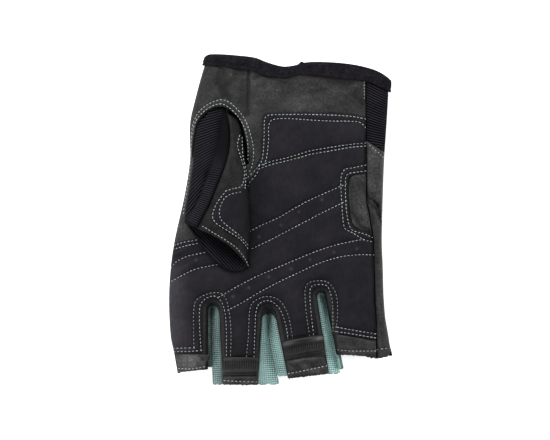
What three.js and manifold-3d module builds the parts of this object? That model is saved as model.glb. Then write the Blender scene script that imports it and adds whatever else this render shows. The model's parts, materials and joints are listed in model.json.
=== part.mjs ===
import * as THREE from 'three';
import { mergeVertices } from 'three/addons/utils/BufferGeometryUtils.js';
import Module from 'manifold-3d';

// A half-finger weightlifting glove for the right hand, empty, lying on its back with the palm up
// and the thumb folded over the palm. Millimetres: X runs across the palm to the little finger,
// Y from the fingertips to the wrist and Z up from the surface that it lies on.

const wasm = await Module();
wasm.setup();

// Layers of cloth and leather
const wall = 1.6;
const gap = 0.3;
const padThickness = 1.2;
const padPuff = 0.8;
const hemThickness = 1.0;
const tabThickness = 1.8;
const patchThickness = 0.9;

// Shape of the flattened hand
const seamHeight = 6;
const palmSquareness = 3;
const backSquareness = 4;
const backFlatness = 1.12;
const palmColumns = 22;
const palmRows = 24;
const backRows = 12;
const edgeCrowding = 0.45;

// Binding round the wrist
const bindingThickness = 0.8;
const bindingFold = 2.0;
const leastFold = 1.5;
const bindingOverlap = 2.5;
const throughTheHand = 22;
const bindingClearance = 0.55;
const bindingRows = 2;

// Folded walls between the fingers
const webThickness = 1.2;
const webClearance = 0.5;
const webSag = 0.7;
const slotBorder = 2.2;
const hemSetback = 0.6;

// Thumb
const thumbWall = 1.4;
const thumbLowerWall = 1.2;
const thumbColumns = 10;
const thumbRowCount = 12;
const thumbLipReach = 9.4;
const thumbLowerInset = 0.2;
const thumbPatchReach = 0.93;

// Far past the glove, for the prisms that cut it
const beyond = 100;
const fingertipLine = -90;
const pastTheWrist = 90;
const belowTheFloor = -10;
const overTheThumb = 60;

// The hand from the wrist to the fingertips: its two side seams, the height of the palm above the
// surface and the height at which the back lies, which leaves room for the binding under the wrist
const handSections = [
  { y: 84, left: -35.9, right: 54.4, height: 14.5, rest: 1.35 },
  { y: 74, left: -38.8, right: 54.4, height: 14.5, rest: 1.35 },
  { y: 62, left: -42.1, right: 54.0, height: 15.0, rest: 1.35 },
  { y: 48, left: -45.2, right: 53.2, height: 16.0, rest: 0 },
  { y: 30, left: -45.2, right: 52.0, height: 16.5, rest: 0 },
  { y: 12, left: -47.9, right: 51.3, height: 16.5, rest: 0 },
  { y: -10, left: -52.8, right: 50.8, height: 16.0, rest: 0 },
  { y: -24, left: -54.9, right: 51.3, height: 15.8, rest: 0 },
  { y: -40, left: -55.7, right: 51.8, height: 15.5, rest: 0 },
  { y: -58, left: -54.9, right: 53.6, height: 14.5, rest: 0 },
  { y: -68, left: -52.9, right: 56.0, height: 13.5, rest: 0 },
  { y: -86, left: -49.8, right: 56.0, height: 12.0, rest: 0 },
];

// Valleys pressed into the palm side along straight lines: ends, depth and half-width
const palmFolds = [
  { x1: -33.5, y1: -44, x2: -32.0, y2: -86, depth: 2.6, width: 6 },
  { x1: -5.9, y1: -47, x2: -1.6, y2: -86, depth: 2.6, width: 6 },
  { x1: 20.6, y1: -39, x2: 29.0, y2: -80, depth: 2.6, width: 6 },
  { x1: -15.5, y1: 76, x2: -16.5, y2: 52, depth: 0.9, width: 3 },
  { x1: -29.0, y1: 75, x2: -27.0, y2: 62, depth: 0.6, width: 3 },
  { x1: 33.0, y1: 66, x2: 41.0, y2: 57, depth: 0.7, width: 3 },
  { x1: 43.0, y1: 12, x2: 50.0, y2: 3, depth: 1.0, width: 3 },
  { x1: 1.0, y1: 84, x2: 1.0, y2: 66, depth: 1.0, width: 10 },
  { x1: -4.0, y1: -12, x2: 16.0, y2: 24, depth: 0.9, width: 18 },
];

// The wrist edge from the thumb side to the little finger side, and the lower edge of its binding
const wristMiddle = 76.3;
const wristEdge = [
  { x: -41.0, y: 73.0 },
  { x: -37.8, y: 79.2 },
  { x: -36.6, y: 81.8 },
  { x: -34.8, y: 82.75 },
  { x: -22.5, y: 82.1 },
  { x: -13.0, y: 80.9 },
  { x: -7.5, y: 78.8 },
  { x: 1.0, y: 76.6 },
  { x: 7.0, y: 77.1 },
  { x: 12.0, y: 78.5 },
  { x: 20.0, y: 78.9 },
  { x: 32.5, y: 78.1 },
  { x: 42.5, y: 76.3 },
  { x: 50.0, y: 73.6 },
  { x: 54.4, y: 70.2 },
  { x: 57.0, y: 66.5 },
];
const bindingEdge = [
  { x: -41.0, y: 77.4 },
  { x: -30.0, y: 77.0 },
  { x: -20.0, y: 75.3 },
  { x: -10.0, y: 73.4 },
  { x: -5.0, y: 71.8 },
  { x: 1.4, y: 70.8 },
  { x: 12.4, y: 72.6 },
  { x: 30.0, y: 70.6 },
  { x: 41.0, y: 69.3 },
  { x: 48.0, y: 66.7 },
  { x: 57.0, y: 62.4 },
];

// The dark seam that parts the palm from the little finger side, from the wrist to the hem
const sideSeam = [
  { y: 90, x: 43.0 },
  { y: 10, x: 43.2 },
  { y: 2, x: 44.6 },
  { y: -10, x: 46.3 },
  { y: -24, x: 46.9 },
  { y: -40, x: 47.3 },
  { y: -55, x: 48.0 },
  { y: -90, x: 48.4 },
];

// Diagonal end of the rib knit gusset, and of the leather strip below it
const gussetEnd = { left: { x: 42, y: 40.4 }, right: { x: 60, y: 28.4 } };

// The slots between the fingers. The front window has a round top at crotchX, crotchY and runs
// from topLeft, topRight to endLeft, endRight at its end; the slot in the back is a narrow one
// along the line from backTop to backEnd, and the wall between them ends at webLeft, webRight.
const slots = [
  {
    crotchY: -41.8, topLeft: -36.9, topRight: -30.6, endLeft: -37.3, endRight: -28.9,
    backTop: -34.9, backEnd: -33.9, webLeft: -73.5, webRight: -82.3,
  },
  {
    crotchY: -44.3, topLeft: -9.1, topRight: -2.6, endLeft: -11.4, endRight: 3.9,
    backTop: -5.8, backEnd: -1.6, webLeft: -82.4, webRight: -78.0,
  },
  {
    crotchY: -35.8, topLeft: 18.3, topRight: 22.9, endLeft: 24.9, endRight: 31.3,
    backTop: 21.8, backEnd: 30.6, webLeft: -77.0, webRight: -74.6,
  },
];
const slotEndLine = -80;
const backSlotWidth = 1.6;
const backCrotchDrop = 3;
const crotchSteps = 8;

// The fingers, from the index to the little finger: where the palm side ends at its left and right,
// where the back ends, where the pad ends, and where the leather hem begins
const fingers = [
  {
    name: 'index', left: -60, right: -33, endLeft: -77.2, endRight: -74.5,
    backLeft: -76.0, backRight: -73.4,
    padLeft: -64.6, padRight: -66.4, hemLeft: -66.0, hemRight: -67.8,
  },
  {
    name: 'middle', left: -33, right: -5, endLeft: -82.6, endRight: -82.75,
    backLeft: -81.4, backRight: -81.6,
    padLeft: -68.3, padRight: -68.6, hemLeft: -78.4, hemRight: -78.4,
  },
  {
    name: 'ring', left: -5, right: 27, endLeft: -80.6, endRight: -76.9,
    backLeft: -79.0, backRight: -75.5,
    padLeft: -60.2, padRight: -56.4, hemLeft: -71.8, hemRight: -67.2,
  },
  {
    name: 'pinky', left: 27, right: 60, endLeft: -67.4, endRight: -69.4,
    backLeft: -66.6, backRight: -68.4,
    padLeft: -56.2, padRight: -60.4, hemLeft: -57.4, hemRight: -61.6,
  },
];
const overlayReach = 0.965;

// Outlines on the palm side, anticlockwise from the lower left: x, y
const heelPadOutline = [
  [-12.2, 27.2], [-4.5, 29.8], [5.0, 32.2], [15.0, 34.9], [25.0, 36.6], [42.4, 38.6],
  [42.4, 50.6], [38.0, 52.9], [10.0, 53.7], [-6.5, 53.4], [-9.6, 51.0], [-10.4, 38.0],
];
const palmPadTop = [
  [42.4, 38.0], [25.0, 36.0], [15.0, 34.3], [5.0, 31.6], [-4.5, 29.2], [-12.0, 26.4],
  [-15.0, 20.0], [-18.2, 14.0], [-30.0, 0.0], [-43.0, -10.2], [-48.0, -11.2], [-60.0, -13.6],
];
const sidePatchOutline = [
  [46.0, -9.8], [40.0, -7.8], [35.4, -4.6], [32.8, -2.0], [31.8, 8.0], [31.4, 18.0],
  [31.9, 22.0], [34.6, 24.8], [42.7, 26.4],
];
const sidePatchRoom = [
  [48.0, -10.6], [40.0, -8.3], [35.1, -5.1], [32.3, -2.2], [31.3, 8.0], [30.9, 18.1],
  [31.5, 22.3], [34.4, 25.3], [42.8, 26.9], [48.0, 27.2],
];
const middleTabOutline = [[-28.6, -77.9], [-11.2, -77.9], [-10.8, -69.2], [-28.9, -68.9]];
const ringTabOutline = [[2.8, -70.0], [22.6, -66.0], [20.8, -57.2], [1.0, -60.9]];

// Padded channels across the palm, each between two lines of stitches: ends and half-width
const channels = [
  { x1: -53, y1: -28, x2: -12, y2: -13, width: 4.2 },
  { x1: -12, y1: -11, x2: 32, y2: 13, width: 4.0 },
  { x1: -28, y1: -39, x2: 14, y2: -18, width: 4.2 },
  { x1: 14, y1: -18, x2: 46, y2: -14, width: 3.8 },
];

// The thumb from its root in the palm to its open end: its two edges, how far its underside lies
// over the palm, and how high it is crowned
const thumbSections = [
  { row: 0, leftX: -36.5, leftY: 52.8, rightX: -26.0, rightY: 53.2, under: -2.9, crown: 0.4 },
  { row: 1, leftX: -41.3, leftY: 47.3, rightX: -20.9, rightY: 48.7, under: -2.6, crown: 1.6 },
  { row: 2, leftX: -43.0, leftY: 38.7, rightX: -18.4, rightY: 37.2, under: -1.6, crown: 3.6 },
  { row: 3, leftX: -43.8, leftY: 27.2, rightX: -16.8, rightY: 22.2, under: 2.2, crown: 6.0 },
  { row: 4, leftX: -45.6, leftY: 14.7, rightX: -15.1, rightY: 4.7, under: 2.8, crown: 7.0 },
  { row: 5, leftX: -47.2, leftY: 6.2, rightX: -15.1, rightY: -10.3, under: 2.8, crown: 7.4 },
  { row: 6, leftX: -48.0, leftY: -1.3, rightX: -15.6, rightY: -24.3, under: 2.8, crown: 7.4 },
];
const lastThumbRow = 6;
const thumbRootReach = 4.2;
const thumbLipCut = 0.34;
const thumbLipSlant = 0.35;
const thumbLowerStart = 2.75;
const thumbSquareness = 2.6;
const thumbFolds = [
  { x1: -29.1, y1: 50, x2: -36.0, y2: 21, depth: 1.5, width: 3.2 },
  { x1: -36.0, y1: 21, x2: -47.0, y2: 0, depth: 1.5, width: 3.2 },
];

// Seam between the knit and the leather of the thumb, from its root to its end: x, y
const thumbSeam = [
  [-29.2, 60.0], [-26.4, 51.4], [-25.0, 42.0], [-25.6, 31.5], [-28.6, 20.8], [-35.8, 4.8], [-43.0, -8.0],
];

// The arched hole in the palm leather that the thumb comes out of, and how far it is cut round it
const thumbHoleOutline = [
  [-44.4, 31.2], [-44.0, 38.8], [-42.3, 47.2], [-37.1, 53.9], [-31.1, 56.3], [-25.4, 54.6],
  [-20.4, 49.8], [-17.6, 41.3], [-16.2, 31.8], [-16.1, 27.6],
];
const thumbPatchOutline = [
  [-14.0, -15.5], [-14.0, 15.0], [-20.1, 16.6], [-27.1, 14.3], [-31.8, 8.3], [-33.8, 1.0], [-26.1, -6.0],
];

const clamp = THREE.MathUtils.clamp;

// Smooth value of a table's column at a place along another of its columns
function lookUp(rows, along, column, place) {
  const last = rows.length - 1;
  const direction = Math.sign(rows[last][along] - rows[0][along]);
  let k = 0;
  while (k < last - 1 && direction * (place - rows[k + 1][along]) > 0) {
    k += 1;
  }
  const slope = (i) => {
    const before = rows[Math.max(i - 1, 0)];
    const after = rows[Math.min(i + 1, last)];
    return (after[column] - before[column]) / (after[along] - before[along]);
  };
  const span = rows[k + 1][along] - rows[k][along];
  const t = clamp((place - rows[k][along]) / span, 0, 1);
  const rise = t * t * (3 - 2 * t);
  const start = rows[k][column] * (1 - rise) + slope(k) * span * t * (1 - t) * (1 - t);
  return start + rows[k + 1][column] * rise - slope(k + 1) * span * t * t * (1 - t);
}

// Distance from a point to the line between x1, y1 and x2, y2 of a table's row
function distanceToLine(row, x, y) {
  const alongX = row.x2 - row.x1;
  const alongY = row.y2 - row.y1;
  const share = ((x - row.x1) * alongX + (y - row.y1) * alongY) / (alongX ** 2 + alongY ** 2);
  const t = clamp(share, 0, 1);
  return Math.hypot(x - row.x1 - t * alongX, y - row.y1 - t * alongY);
}

function foldDepth(folds, x, y) {
  let depth = 0;
  for (const fold of folds) {
    depth += fold.depth * Math.exp(-((distanceToLine(fold, x, y) / fold.width) ** 2));
  }
  return depth;
}

// One section of the hand, and a point on its palm or back, moved outwards by an offset
function handSection(y) {
  const left = lookUp(handSections, 'y', 'left', y);
  const right = lookUp(handSections, 'y', 'right', y);
  return {
    centre: (left + right) / 2,
    halfWidth: (right - left) / 2,
    height: lookUp(handSections, 'y', 'height', y),
    rest: Math.max(0, lookUp(handSections, 'y', 'rest', y)),
  };
}

function palmHeightAcross(section, across, x, y, offset) {
  const seam = seamHeight + gap / 2;
  const crown = Math.sqrt(1 - Math.min(1, Math.abs(across)) ** palmSquareness);
  return seam + crown * (section.height - seam + offset - foldDepth(palmFolds, x, y));
}

function palmHeight(x, y, offset = 0) {
  const section = handSection(y);
  const across = clamp((x - section.centre) / (section.halfWidth + offset), -1, 1);
  return palmHeightAcross(section, across, x, y, offset);
}

function palmPoint(angle, y, offset) {
  const section = handSection(y);
  const x = section.centre + (section.halfWidth + offset) * Math.sin(angle);
  return new THREE.Vector3(x, y, palmHeightAcross(section, Math.sin(angle), x, y, offset));
}

function backPoint(angle, y, offset) {
  const section = handSection(y);
  const seam = seamHeight - gap / 2;
  const across = Math.sin(angle);
  const x = section.centre + (section.halfWidth + offset) * across;
  const flat = Math.min(1, backFlatness * Math.sqrt(1 - Math.min(1, Math.abs(across)) ** backSquareness));
  return new THREE.Vector3(x, y, seam - flat * (seam - section.rest + offset));
}

// A closed solid between an outer and an inner grid of points, or a ring if the columns wrap round
function solidBetween(columns, rows, outer, inner, wraps = false) {
  const across = wraps ? columns : columns + 1;
  const vertices = [];
  for (const layer of [outer, inner]) {
    for (let j = 0; j <= rows; j += 1) {
      for (let i = 0; i < across; i += 1) {
        vertices.push(...layer(i / columns, j / rows).toArray());
      }
    }
  }
  const inside = across * (rows + 1);
  const at = (i, j) => (i % across) + across * j;
  const triangles = [];
  const addQuad = (a, b, c, d) => triangles.push(a, b, c, a, c, d);
  for (let j = 0; j < rows; j += 1) {
    for (let i = 0; i < columns; i += 1) {
      addQuad(at(i, j), at(i, j + 1), at(i + 1, j + 1), at(i + 1, j));
      addQuad(inside + at(i, j), inside + at(i + 1, j), inside + at(i + 1, j + 1), inside + at(i, j + 1));
    }
    if (!wraps) {
      addQuad(at(0, j), inside + at(0, j), inside + at(0, j + 1), at(0, j + 1));
      addQuad(at(columns, j), at(columns, j + 1), inside + at(columns, j + 1), inside + at(columns, j));
    }
  }
  for (let i = 0; i < columns; i += 1) {
    addQuad(at(i, 0), at(i + 1, 0), inside + at(i + 1, 0), inside + at(i, 0));
    addQuad(at(i, rows), inside + at(i, rows), inside + at(i + 1, rows), at(i + 1, rows));
  }
  return toSolid(vertices, triangles);
}

function signedVolume(vertices, triangles) {
  const corner = (k) => new THREE.Vector3().fromArray(vertices, 3 * triangles[k]);
  let volume = 0;
  for (let k = 0; k < triangles.length; k += 3) {
    volume += corner(k).dot(corner(k + 1).cross(corner(k + 2))) / 6;
  }
  return volume;
}

function toSolid(vertices, triangles) {
  const order = Array.from(triangles);
  if (signedVolume(vertices, order) < 0) {
    order.reverse();
  }
  return new wasm.Manifold(new wasm.Mesh({
    numProp: 3,
    vertProperties: Float32Array.from(vertices),
    triVerts: Uint32Array.from(order),
  }));
}

// An upright prism over an outline, for cutting a piece to shape
function prism(outline, low = belowTheFloor, high = overTheThumb) {
  const shape = new THREE.Shape(outline.map(([x, y]) => new THREE.Vector2(x, y)));
  const block = new THREE.ExtrudeGeometry(shape, { depth: high - low, bevelEnabled: false });
  block.deleteAttribute('normal');
  block.deleteAttribute('uv');
  block.translate(0, 0, low);
  const merged = mergeVertices(block);
  return toSolid(merged.attributes.position.array, merged.index.array);
}

function smoothLine(points, samples = 24) {
  const curve = new THREE.SplineCurve(points.map(([x, y]) => new THREE.Vector2(x, y)));
  return curve.getPoints(samples).map((point) => [point.x, point.y]);
}

// Everything past a line across each finger, between two columns of the table of fingers
function pastFingers(leftColumn, rightColumn) {
  const outline = [];
  for (const finger of fingers) {
    outline.push([finger.left, finger[leftColumn]], [finger.right, finger[rightColumn]]);
  }
  outline.push([beyond, -beyond], [-beyond, -beyond]);
  return prism(outline);
}

// Everything on the little finger side of the dark seam, moved by a margin
function besideSeam(margin) {
  const outline = [];
  for (let y = pastTheWrist; y >= fingertipLine; y -= 10) {
    outline.push([lookUp(sideSeam, 'y', 'x', y) + margin, y]);
  }
  outline.push([beyond, fingertipLine], [beyond, pastTheWrist]);
  return prism(outline);
}

function aboveGussetEnd(margin) {
  const { left, right } = gussetEnd;
  return prism([
    [left.x, left.y + margin], [right.x, right.y + margin], [right.x, pastTheWrist], [left.x, pastTheWrist],
  ]);
}

// A slot's outline as a path up its left side, round its top and down its right side
function slotPath(slot, side, margin, leftLine, rightLine, legSteps, turnSteps) {
  const isFront = side === 'front';
  const topLeft = isFront ? slot.topLeft : slot.backTop - backSlotWidth / 2;
  const topRight = isFront ? slot.topRight : slot.backTop + backSlotWidth / 2;
  const endLeft = isFront ? slot.endLeft : slot.backEnd - backSlotWidth / 2;
  const endRight = isFront ? slot.endRight : slot.backEnd + backSlotWidth / 2;
  const radius = (topRight - topLeft) / 2;
  const turnX = (topLeft + topRight) / 2;
  const turnY = isFront ? slot.crotchY - radius : slot.crotchY - backCrotchDrop;
  const along = (top, end, share) => top + (end - top) * share / (turnY - slotEndLine);
  const path = [];
  for (let k = 0; k < legSteps; k += 1) {
    const drop = (turnY - leftLine) * (1 - k / legSteps);
    path.push([along(topLeft, endLeft, drop) - margin, turnY - drop]);
  }
  for (let k = 0; k <= turnSteps; k += 1) {
    const angle = Math.PI * (1 - k / turnSteps);
    const reach = radius + margin;
    path.push([turnX + reach * Math.cos(angle), turnY + reach * Math.sin(angle)]);
  }
  for (let k = 1; k <= legSteps; k += 1) {
    const drop = (turnY - rightLine) * (k / legSteps);
    path.push([along(topRight, endRight, drop) + margin, turnY - drop]);
  }
  return path;
}

function slotPrism(slot, side, margin) {
  return prism(slotPath(slot, side, margin, fingertipLine, fingertipLine, 1, crotchSteps));
}

// The palm side as one sheet, and a layer that lies on it between two heights over its surface
const quarterTurn = Math.PI / 2;
const handTop = 84;
const handBottom = -84;
const palmAngle = (u) => {
  const even = 2 * u - 1;
  const across = (1 - edgeCrowding) * even + edgeCrowding * Math.sin(even * quarterTurn);
  return Math.asin(clamp(across, -1, 1));
};
const handY = (v) => handTop + (handBottom - handTop) * v;

function palmSheet() {
  return solidBetween(
    palmColumns, palmRows,
    (u, v) => palmPoint(palmAngle(u), handY(v), 0),
    (u, v) => palmPoint(palmAngle(u), handY(v), -wall),
  );
}

function palmLayer(low, high, puff = () => 0) {
  const lifted = (u, v, lift) => {
    const point = palmPoint(palmAngle(u), handY(v), 0);
    point.z += lift(point.x, point.y);
    return point;
  };
  return solidBetween(
    palmColumns, palmRows,
    (u, v) => lifted(u, v, (x, y) => high + puff(x, y)),
    (u, v) => lifted(u, v, () => low),
  );
}

function backSheet() {
  return solidBetween(
    palmColumns, backRows,
    (u, v) => backPoint(palmAngle(u), handY(v), 0),
    (u, v) => backPoint(palmAngle(u), handY(v), -wall),
  );
}

function bindingWidthAt(x) {
  return lookUp(wristEdge, 'x', 'y', x) - lookUp(bindingEdge, 'x', 'y', x);
}

// How far the cut edges of the hand lie inside the fold of the binding
function foldAt(x) {
  return clamp(bindingWidthAt(x) - bindingOverlap, leastFold, bindingFold);
}

// A ring round the wrist between two distances from its edge
function wristRing(from, to, outerOffset, innerOffset) {
  const ringColumns = 2 * (palmColumns + 1);
  const middle = handSection(wristMiddle);
  const point = (u, v, offset) => {
    const column = Math.round(u * ringColumns);
    const onPalm = column <= palmColumns;
    const angle = palmAngle((onPalm ? column : ringColumns - 1 - column) / palmColumns);
    const x = middle.centre + middle.halfWidth * Math.sin(angle);
    const y = lookUp(wristEdge, 'x', 'y', x) - from(x) * (1 - v) - to(x) * v;
    return onPalm ? palmPoint(angle, y, offset) : backPoint(angle, y, offset);
  };
  return solidBetween(
    ringColumns, bindingRows,
    (u, v) => point(u, v, outerOffset),
    (u, v) => point(u, v, innerOffset),
    true,
  );
}

// What a layer on the palm may cover: short of the side seams and of the dark seam
function overlayArea() {
  const left = [];
  const right = [];
  for (let y = pastTheWrist; y >= fingertipLine; y -= 6) {
    const section = handSection(y);
    const reach = overlayReach * section.halfWidth;
    left.push([section.centre - reach, y]);
    right.unshift([Math.min(section.centre + reach, lookUp(sideSeam, 'y', 'x', y) - gap), y]);
  }
  return prism([...left, ...right]);
}

// A point on the thumb's upper sheet: across from -1 to 1, at a row of the table. Its root, from
// row -1 to 0, dives under the palm leather.
function thumbPoint(across, row, narrowing, raise) {
  const value = (column) => lookUp(thumbSections, 'row', column, row);
  const left = new THREE.Vector2(value('leftX'), value('leftY'));
  const right = new THREE.Vector2(value('rightX'), value('rightY'));
  const middle = left.clone().lerp(right, 0.5);
  const half = right.clone().sub(left).multiplyScalar(0.5);
  half.setLength(half.length() - narrowing);
  const place = middle.addScaledVector(half, across);
  const dive = thumbRootReach * Math.max(0, -row);
  place.y += dive;
  const shape = Math.sqrt(1 - Math.min(1, Math.abs(across)) ** thumbSquareness);
  const seat = value('under') + thumbLowerWall + gap - dive;
  const crown = Math.max(0, value('crown') + raise - foldDepth(thumbFolds, place.x, place.y));
  return new THREE.Vector3(place.x, place.y, palmHeight(place.x, place.y) + seat + crown * shape);
}

// The sheet from the end of the root to the mouth, whose upper side is cut back in the middle
function thumbUpperSheet() {
  const across = (u) => Math.sin((2 * u - 1) * quarterTurn);
  const rows = thumbRowCount + 1;
  const rowAt = (u, v) => {
    const k = Math.round(v * rows) - 1;
    const place = across(u);
    const mouth = lastThumbRow - thumbLipCut * (1 - place ** 2) * (1 + thumbLipSlant * place);
    return k < 0 ? -1 : mouth * (k / thumbRowCount);
  };
  return solidBetween(
    thumbColumns, rows,
    (u, v) => thumbPoint(across(u), rowAt(u, v), 0, thumbWall),
    (u, v) => thumbPoint(across(u), rowAt(u, v), thumbWall, 0),
  );
}

const leatherColour = 0x3f3f40;
const suedeColour = 0x29272b;
const ribColour = 0x1e1d22;
const tealColour = 0x7a9c99;
const tapeColour = 0x232126;
const tabColour = 0x303032;

// Cuts that several pieces of the hand share
const wristCut = wristRing(() => -throughTheHand, foldAt, 2 * wall, -3 * wall);
const fingerCut = pastFingers('endLeft', 'endRight');
const backEnds = pastFingers('backLeft', 'backRight');
const thumbHole = prism(smoothLine(thumbHoleOutline));
const coverable = overlayArea();

function cutSlots(piece, side, margin) {
  return slots.reduce((rest, slot) => rest.subtract(slotPrism(slot, side, margin)), piece);
}

function trimmedPalm() {
  const trimmed = palmSheet().subtract(wristCut).subtract(fingerCut);
  return cutSlots(trimmed, 'front', 0);
}

const palm = trimmedPalm();
const sideOfPalm = palm.intersect(besideSeam(gap / 2));

function channelRelief(x, y) {
  let relief = padPuff;
  for (const channel of channels) {
    const distance = distanceToLine(channel, x, y) / channel.width;
    relief = Math.min(relief, padPuff * (1 - Math.exp(-(distance ** 4))));
  }
  return relief;
}

function palmPad() {
  const outline = [
    ...palmPadTop, [-beyond, fingertipLine], [beyond, fingertipLine], [beyond, palmPadTop[0][1]],
  ];
  const layer = palmLayer(gap, gap + padThickness, channelRelief).intersect(prism(outline));
  const trimmed = layer.intersect(coverable).subtract(pastFingers('padLeft', 'padRight'));
  return cutSlots(trimmed.subtract(prism(sidePatchRoom)), 'front', slotBorder);
}

function heelPad() {
  const layer = palmLayer(gap, gap + padThickness + padPuff / 2);
  return layer.intersect(prism(heelPadOutline));
}

function sidePatch() {
  const layer = palmLayer(gap, gap + padThickness);
  return layer.intersect(prism(sidePatchOutline)).intersect(coverable);
}

function fingerHem(finger) {
  const outline = [
    [finger.left, finger.hemLeft], [finger.right, finger.hemRight],
    [finger.right, fingertipLine], [finger.left, fingertipLine],
  ];
  const strip = palmLayer(gap, gap + hemThickness).intersect(prism(outline));
  return cutSlots(strip.subtract(fingerCut), 'front', hemSetback).intersect(coverable);
}

function pullTab(outline) {
  return palmLayer(gap, gap + tabThickness).intersect(prism(outline));
}

function wristBinding() {
  const outside = bindingClearance + bindingThickness;
  const tape = wristRing(() => 0, bindingWidthAt, outside, -wall - outside);
  const edgeRoom = wristRing(
    (x) => foldAt(x) - 2 * bindingClearance, () => throughTheHand, bindingClearance, -wall - bindingClearance,
  );
  return tape.subtract(edgeRoom);
}

function backPanel() {
  return cutSlots(backSheet().subtract(wristCut).subtract(backEnds), 'back', 0);
}

// The folded wall of a slot: it hangs from the front window's edge and stands on the back's edge
function fourchette(slot) {
  const legSteps = 5;
  const turnSteps = 4;
  const steps = 2 * legSteps + turnSteps;
  const edge = (side, margin) => (
    slotPath(slot, side, margin, slot.webLeft, slot.webRight, legSteps, turnSteps)
  );
  const layer = (frontMargin, backMargin) => {
    const front = edge('front', frontMargin);
    const back = edge('back', backMargin);
    return (u, v) => {
      const k = Math.round(u * steps);
      const sag = webSag * Math.sin(Math.PI * v);
      const x = front[k][0] * (1 - v) + back[k][0] * v;
      const y = front[k][1] * (1 - v) + back[k][1] * v;
      const middle = (front[0][0] + front[steps][0]) / 2;
      const high = palmHeight(front[k][0], front[k][1], -wall) - webClearance;
      const low = wall + gap;
      return new THREE.Vector3(x + Math.sign(middle - x) * sag, y, high * (1 - v) + low * v);
    };
  };
  return solidBetween(steps, 2, layer(gap + webThickness, webThickness), layer(gap, 0));
}

// The pieces of the thumb
const thumbSeamLine = smoothLine(thumbSeam);

function besideThumbSeam(margin) {
  const line = thumbSeamLine.map(([x, y]) => [x + margin, y]);
  return prism([...line, [line[line.length - 1][0], -beyond], [beyond, -beyond], [beyond, line[0][1]]]);
}

function thumbLower() {
  const point = (u, v, lift) => {
    const row = thumbLowerStart + (lastThumbRow - thumbLowerStart) * v;
    const place = thumbPoint(2 * u - 1, row, thumbLowerInset, 0);
    const reach = thumbLipReach * Math.sin(Math.PI * u ** 1.25) ** 0.85;
    const y = place.y - reach * v ** 3;
    const z = palmHeight(place.x, y) + lookUp(thumbSections, 'row', 'under', row) + lift;
    return new THREE.Vector3(place.x, y, z);
  };
  return solidBetween(8, 8, (u, v) => point(u, v, thumbLowerWall), (u, v) => point(u, v, 0));
}

function thumbPatch() {
  const across = (u) => thumbPatchReach * Math.sin((2 * u - 1) * quarterTurn);
  const point = (u, v, lift) => {
    const place = thumbPoint(across(u), v * lastThumbRow, 0, thumbWall);
    place.z += lift;
    return place;
  };
  const layer = solidBetween(
    thumbColumns, thumbRowCount,
    (u, v) => point(u, v, gap + patchThickness),
    (u, v) => point(u, v, gap),
  );
  return layer.intersect(prism(thumbPatchOutline));
}

const thumbUpper = thumbUpperSheet();

// Assembly
const glove = new THREE.Group();
glove.name = 'weightlifting_glove';

function addPiece(name, solid, colour, roughness) {
  const mesh = solid.getMesh();
  const geometry = new THREE.BufferGeometry();
  geometry.setAttribute('position', new THREE.BufferAttribute(new Float32Array(mesh.vertProperties), 3));
  geometry.setIndex(new THREE.BufferAttribute(new Uint32Array(mesh.triVerts), 1));
  geometry.computeVertexNormals();
  const material = new THREE.MeshStandardMaterial({ color: colour, roughness, metalness: 0 });
  const piece = new THREE.Mesh(geometry, material);
  piece.name = name;
  glove.add(piece);
}

addPiece('back_panel', backPanel(), ribColour, 0.9);
addPiece('palm_leather', palm.subtract(besideSeam(-gap / 2)).subtract(thumbHole), leatherColour, 0.6);
addPiece('side_gusset', sideOfPalm.intersect(aboveGussetEnd(gap / 2)), ribColour, 0.95);
addPiece('side_panel', sideOfPalm.subtract(aboveGussetEnd(-gap / 2)), leatherColour, 0.6);
addPiece('wrist_binding', wristBinding(), tapeColour, 0.9);
addPiece('heel_pad', heelPad(), suedeColour, 0.95);
addPiece('palm_pad', palmPad(), suedeColour, 0.95);
addPiece('side_patch', sidePatch(), leatherColour, 0.6);
slots.forEach((slot, index) => addPiece(`fourchette_${index + 1}`, fourchette(slot), tealColour, 0.9));
fingers.forEach((finger) => addPiece(`${finger.name}_hem`, fingerHem(finger), leatherColour, 0.6));
addPiece('pull_tab_middle', pullTab(middleTabOutline), tabColour, 0.7);
addPiece('pull_tab_ring', pullTab(ringTabOutline), tabColour, 0.7);
addPiece('thumb_knit', thumbUpper.subtract(besideThumbSeam(-gap / 2)), ribColour, 0.95);
addPiece('thumb_leather', thumbUpper.intersect(besideThumbSeam(gap / 2)), leatherColour, 0.6);
addPiece('thumb_patch', thumbPatch(), suedeColour, 0.95);
addPiece('thumb_lower', thumbLower(), ribColour, 0.95);

export default glove;
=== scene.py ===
"""A half-finger weightlifting glove for the right hand, lying palm up with the thumb over the palm.

Each leather, cloth and knit piece is cut from the glove's own outlines, laid over the shape of the hand,
padded, ribbed and stitched. Sizes are in millimetres until a mesh is made, and in metres after that.
"""

import json
import math

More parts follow.
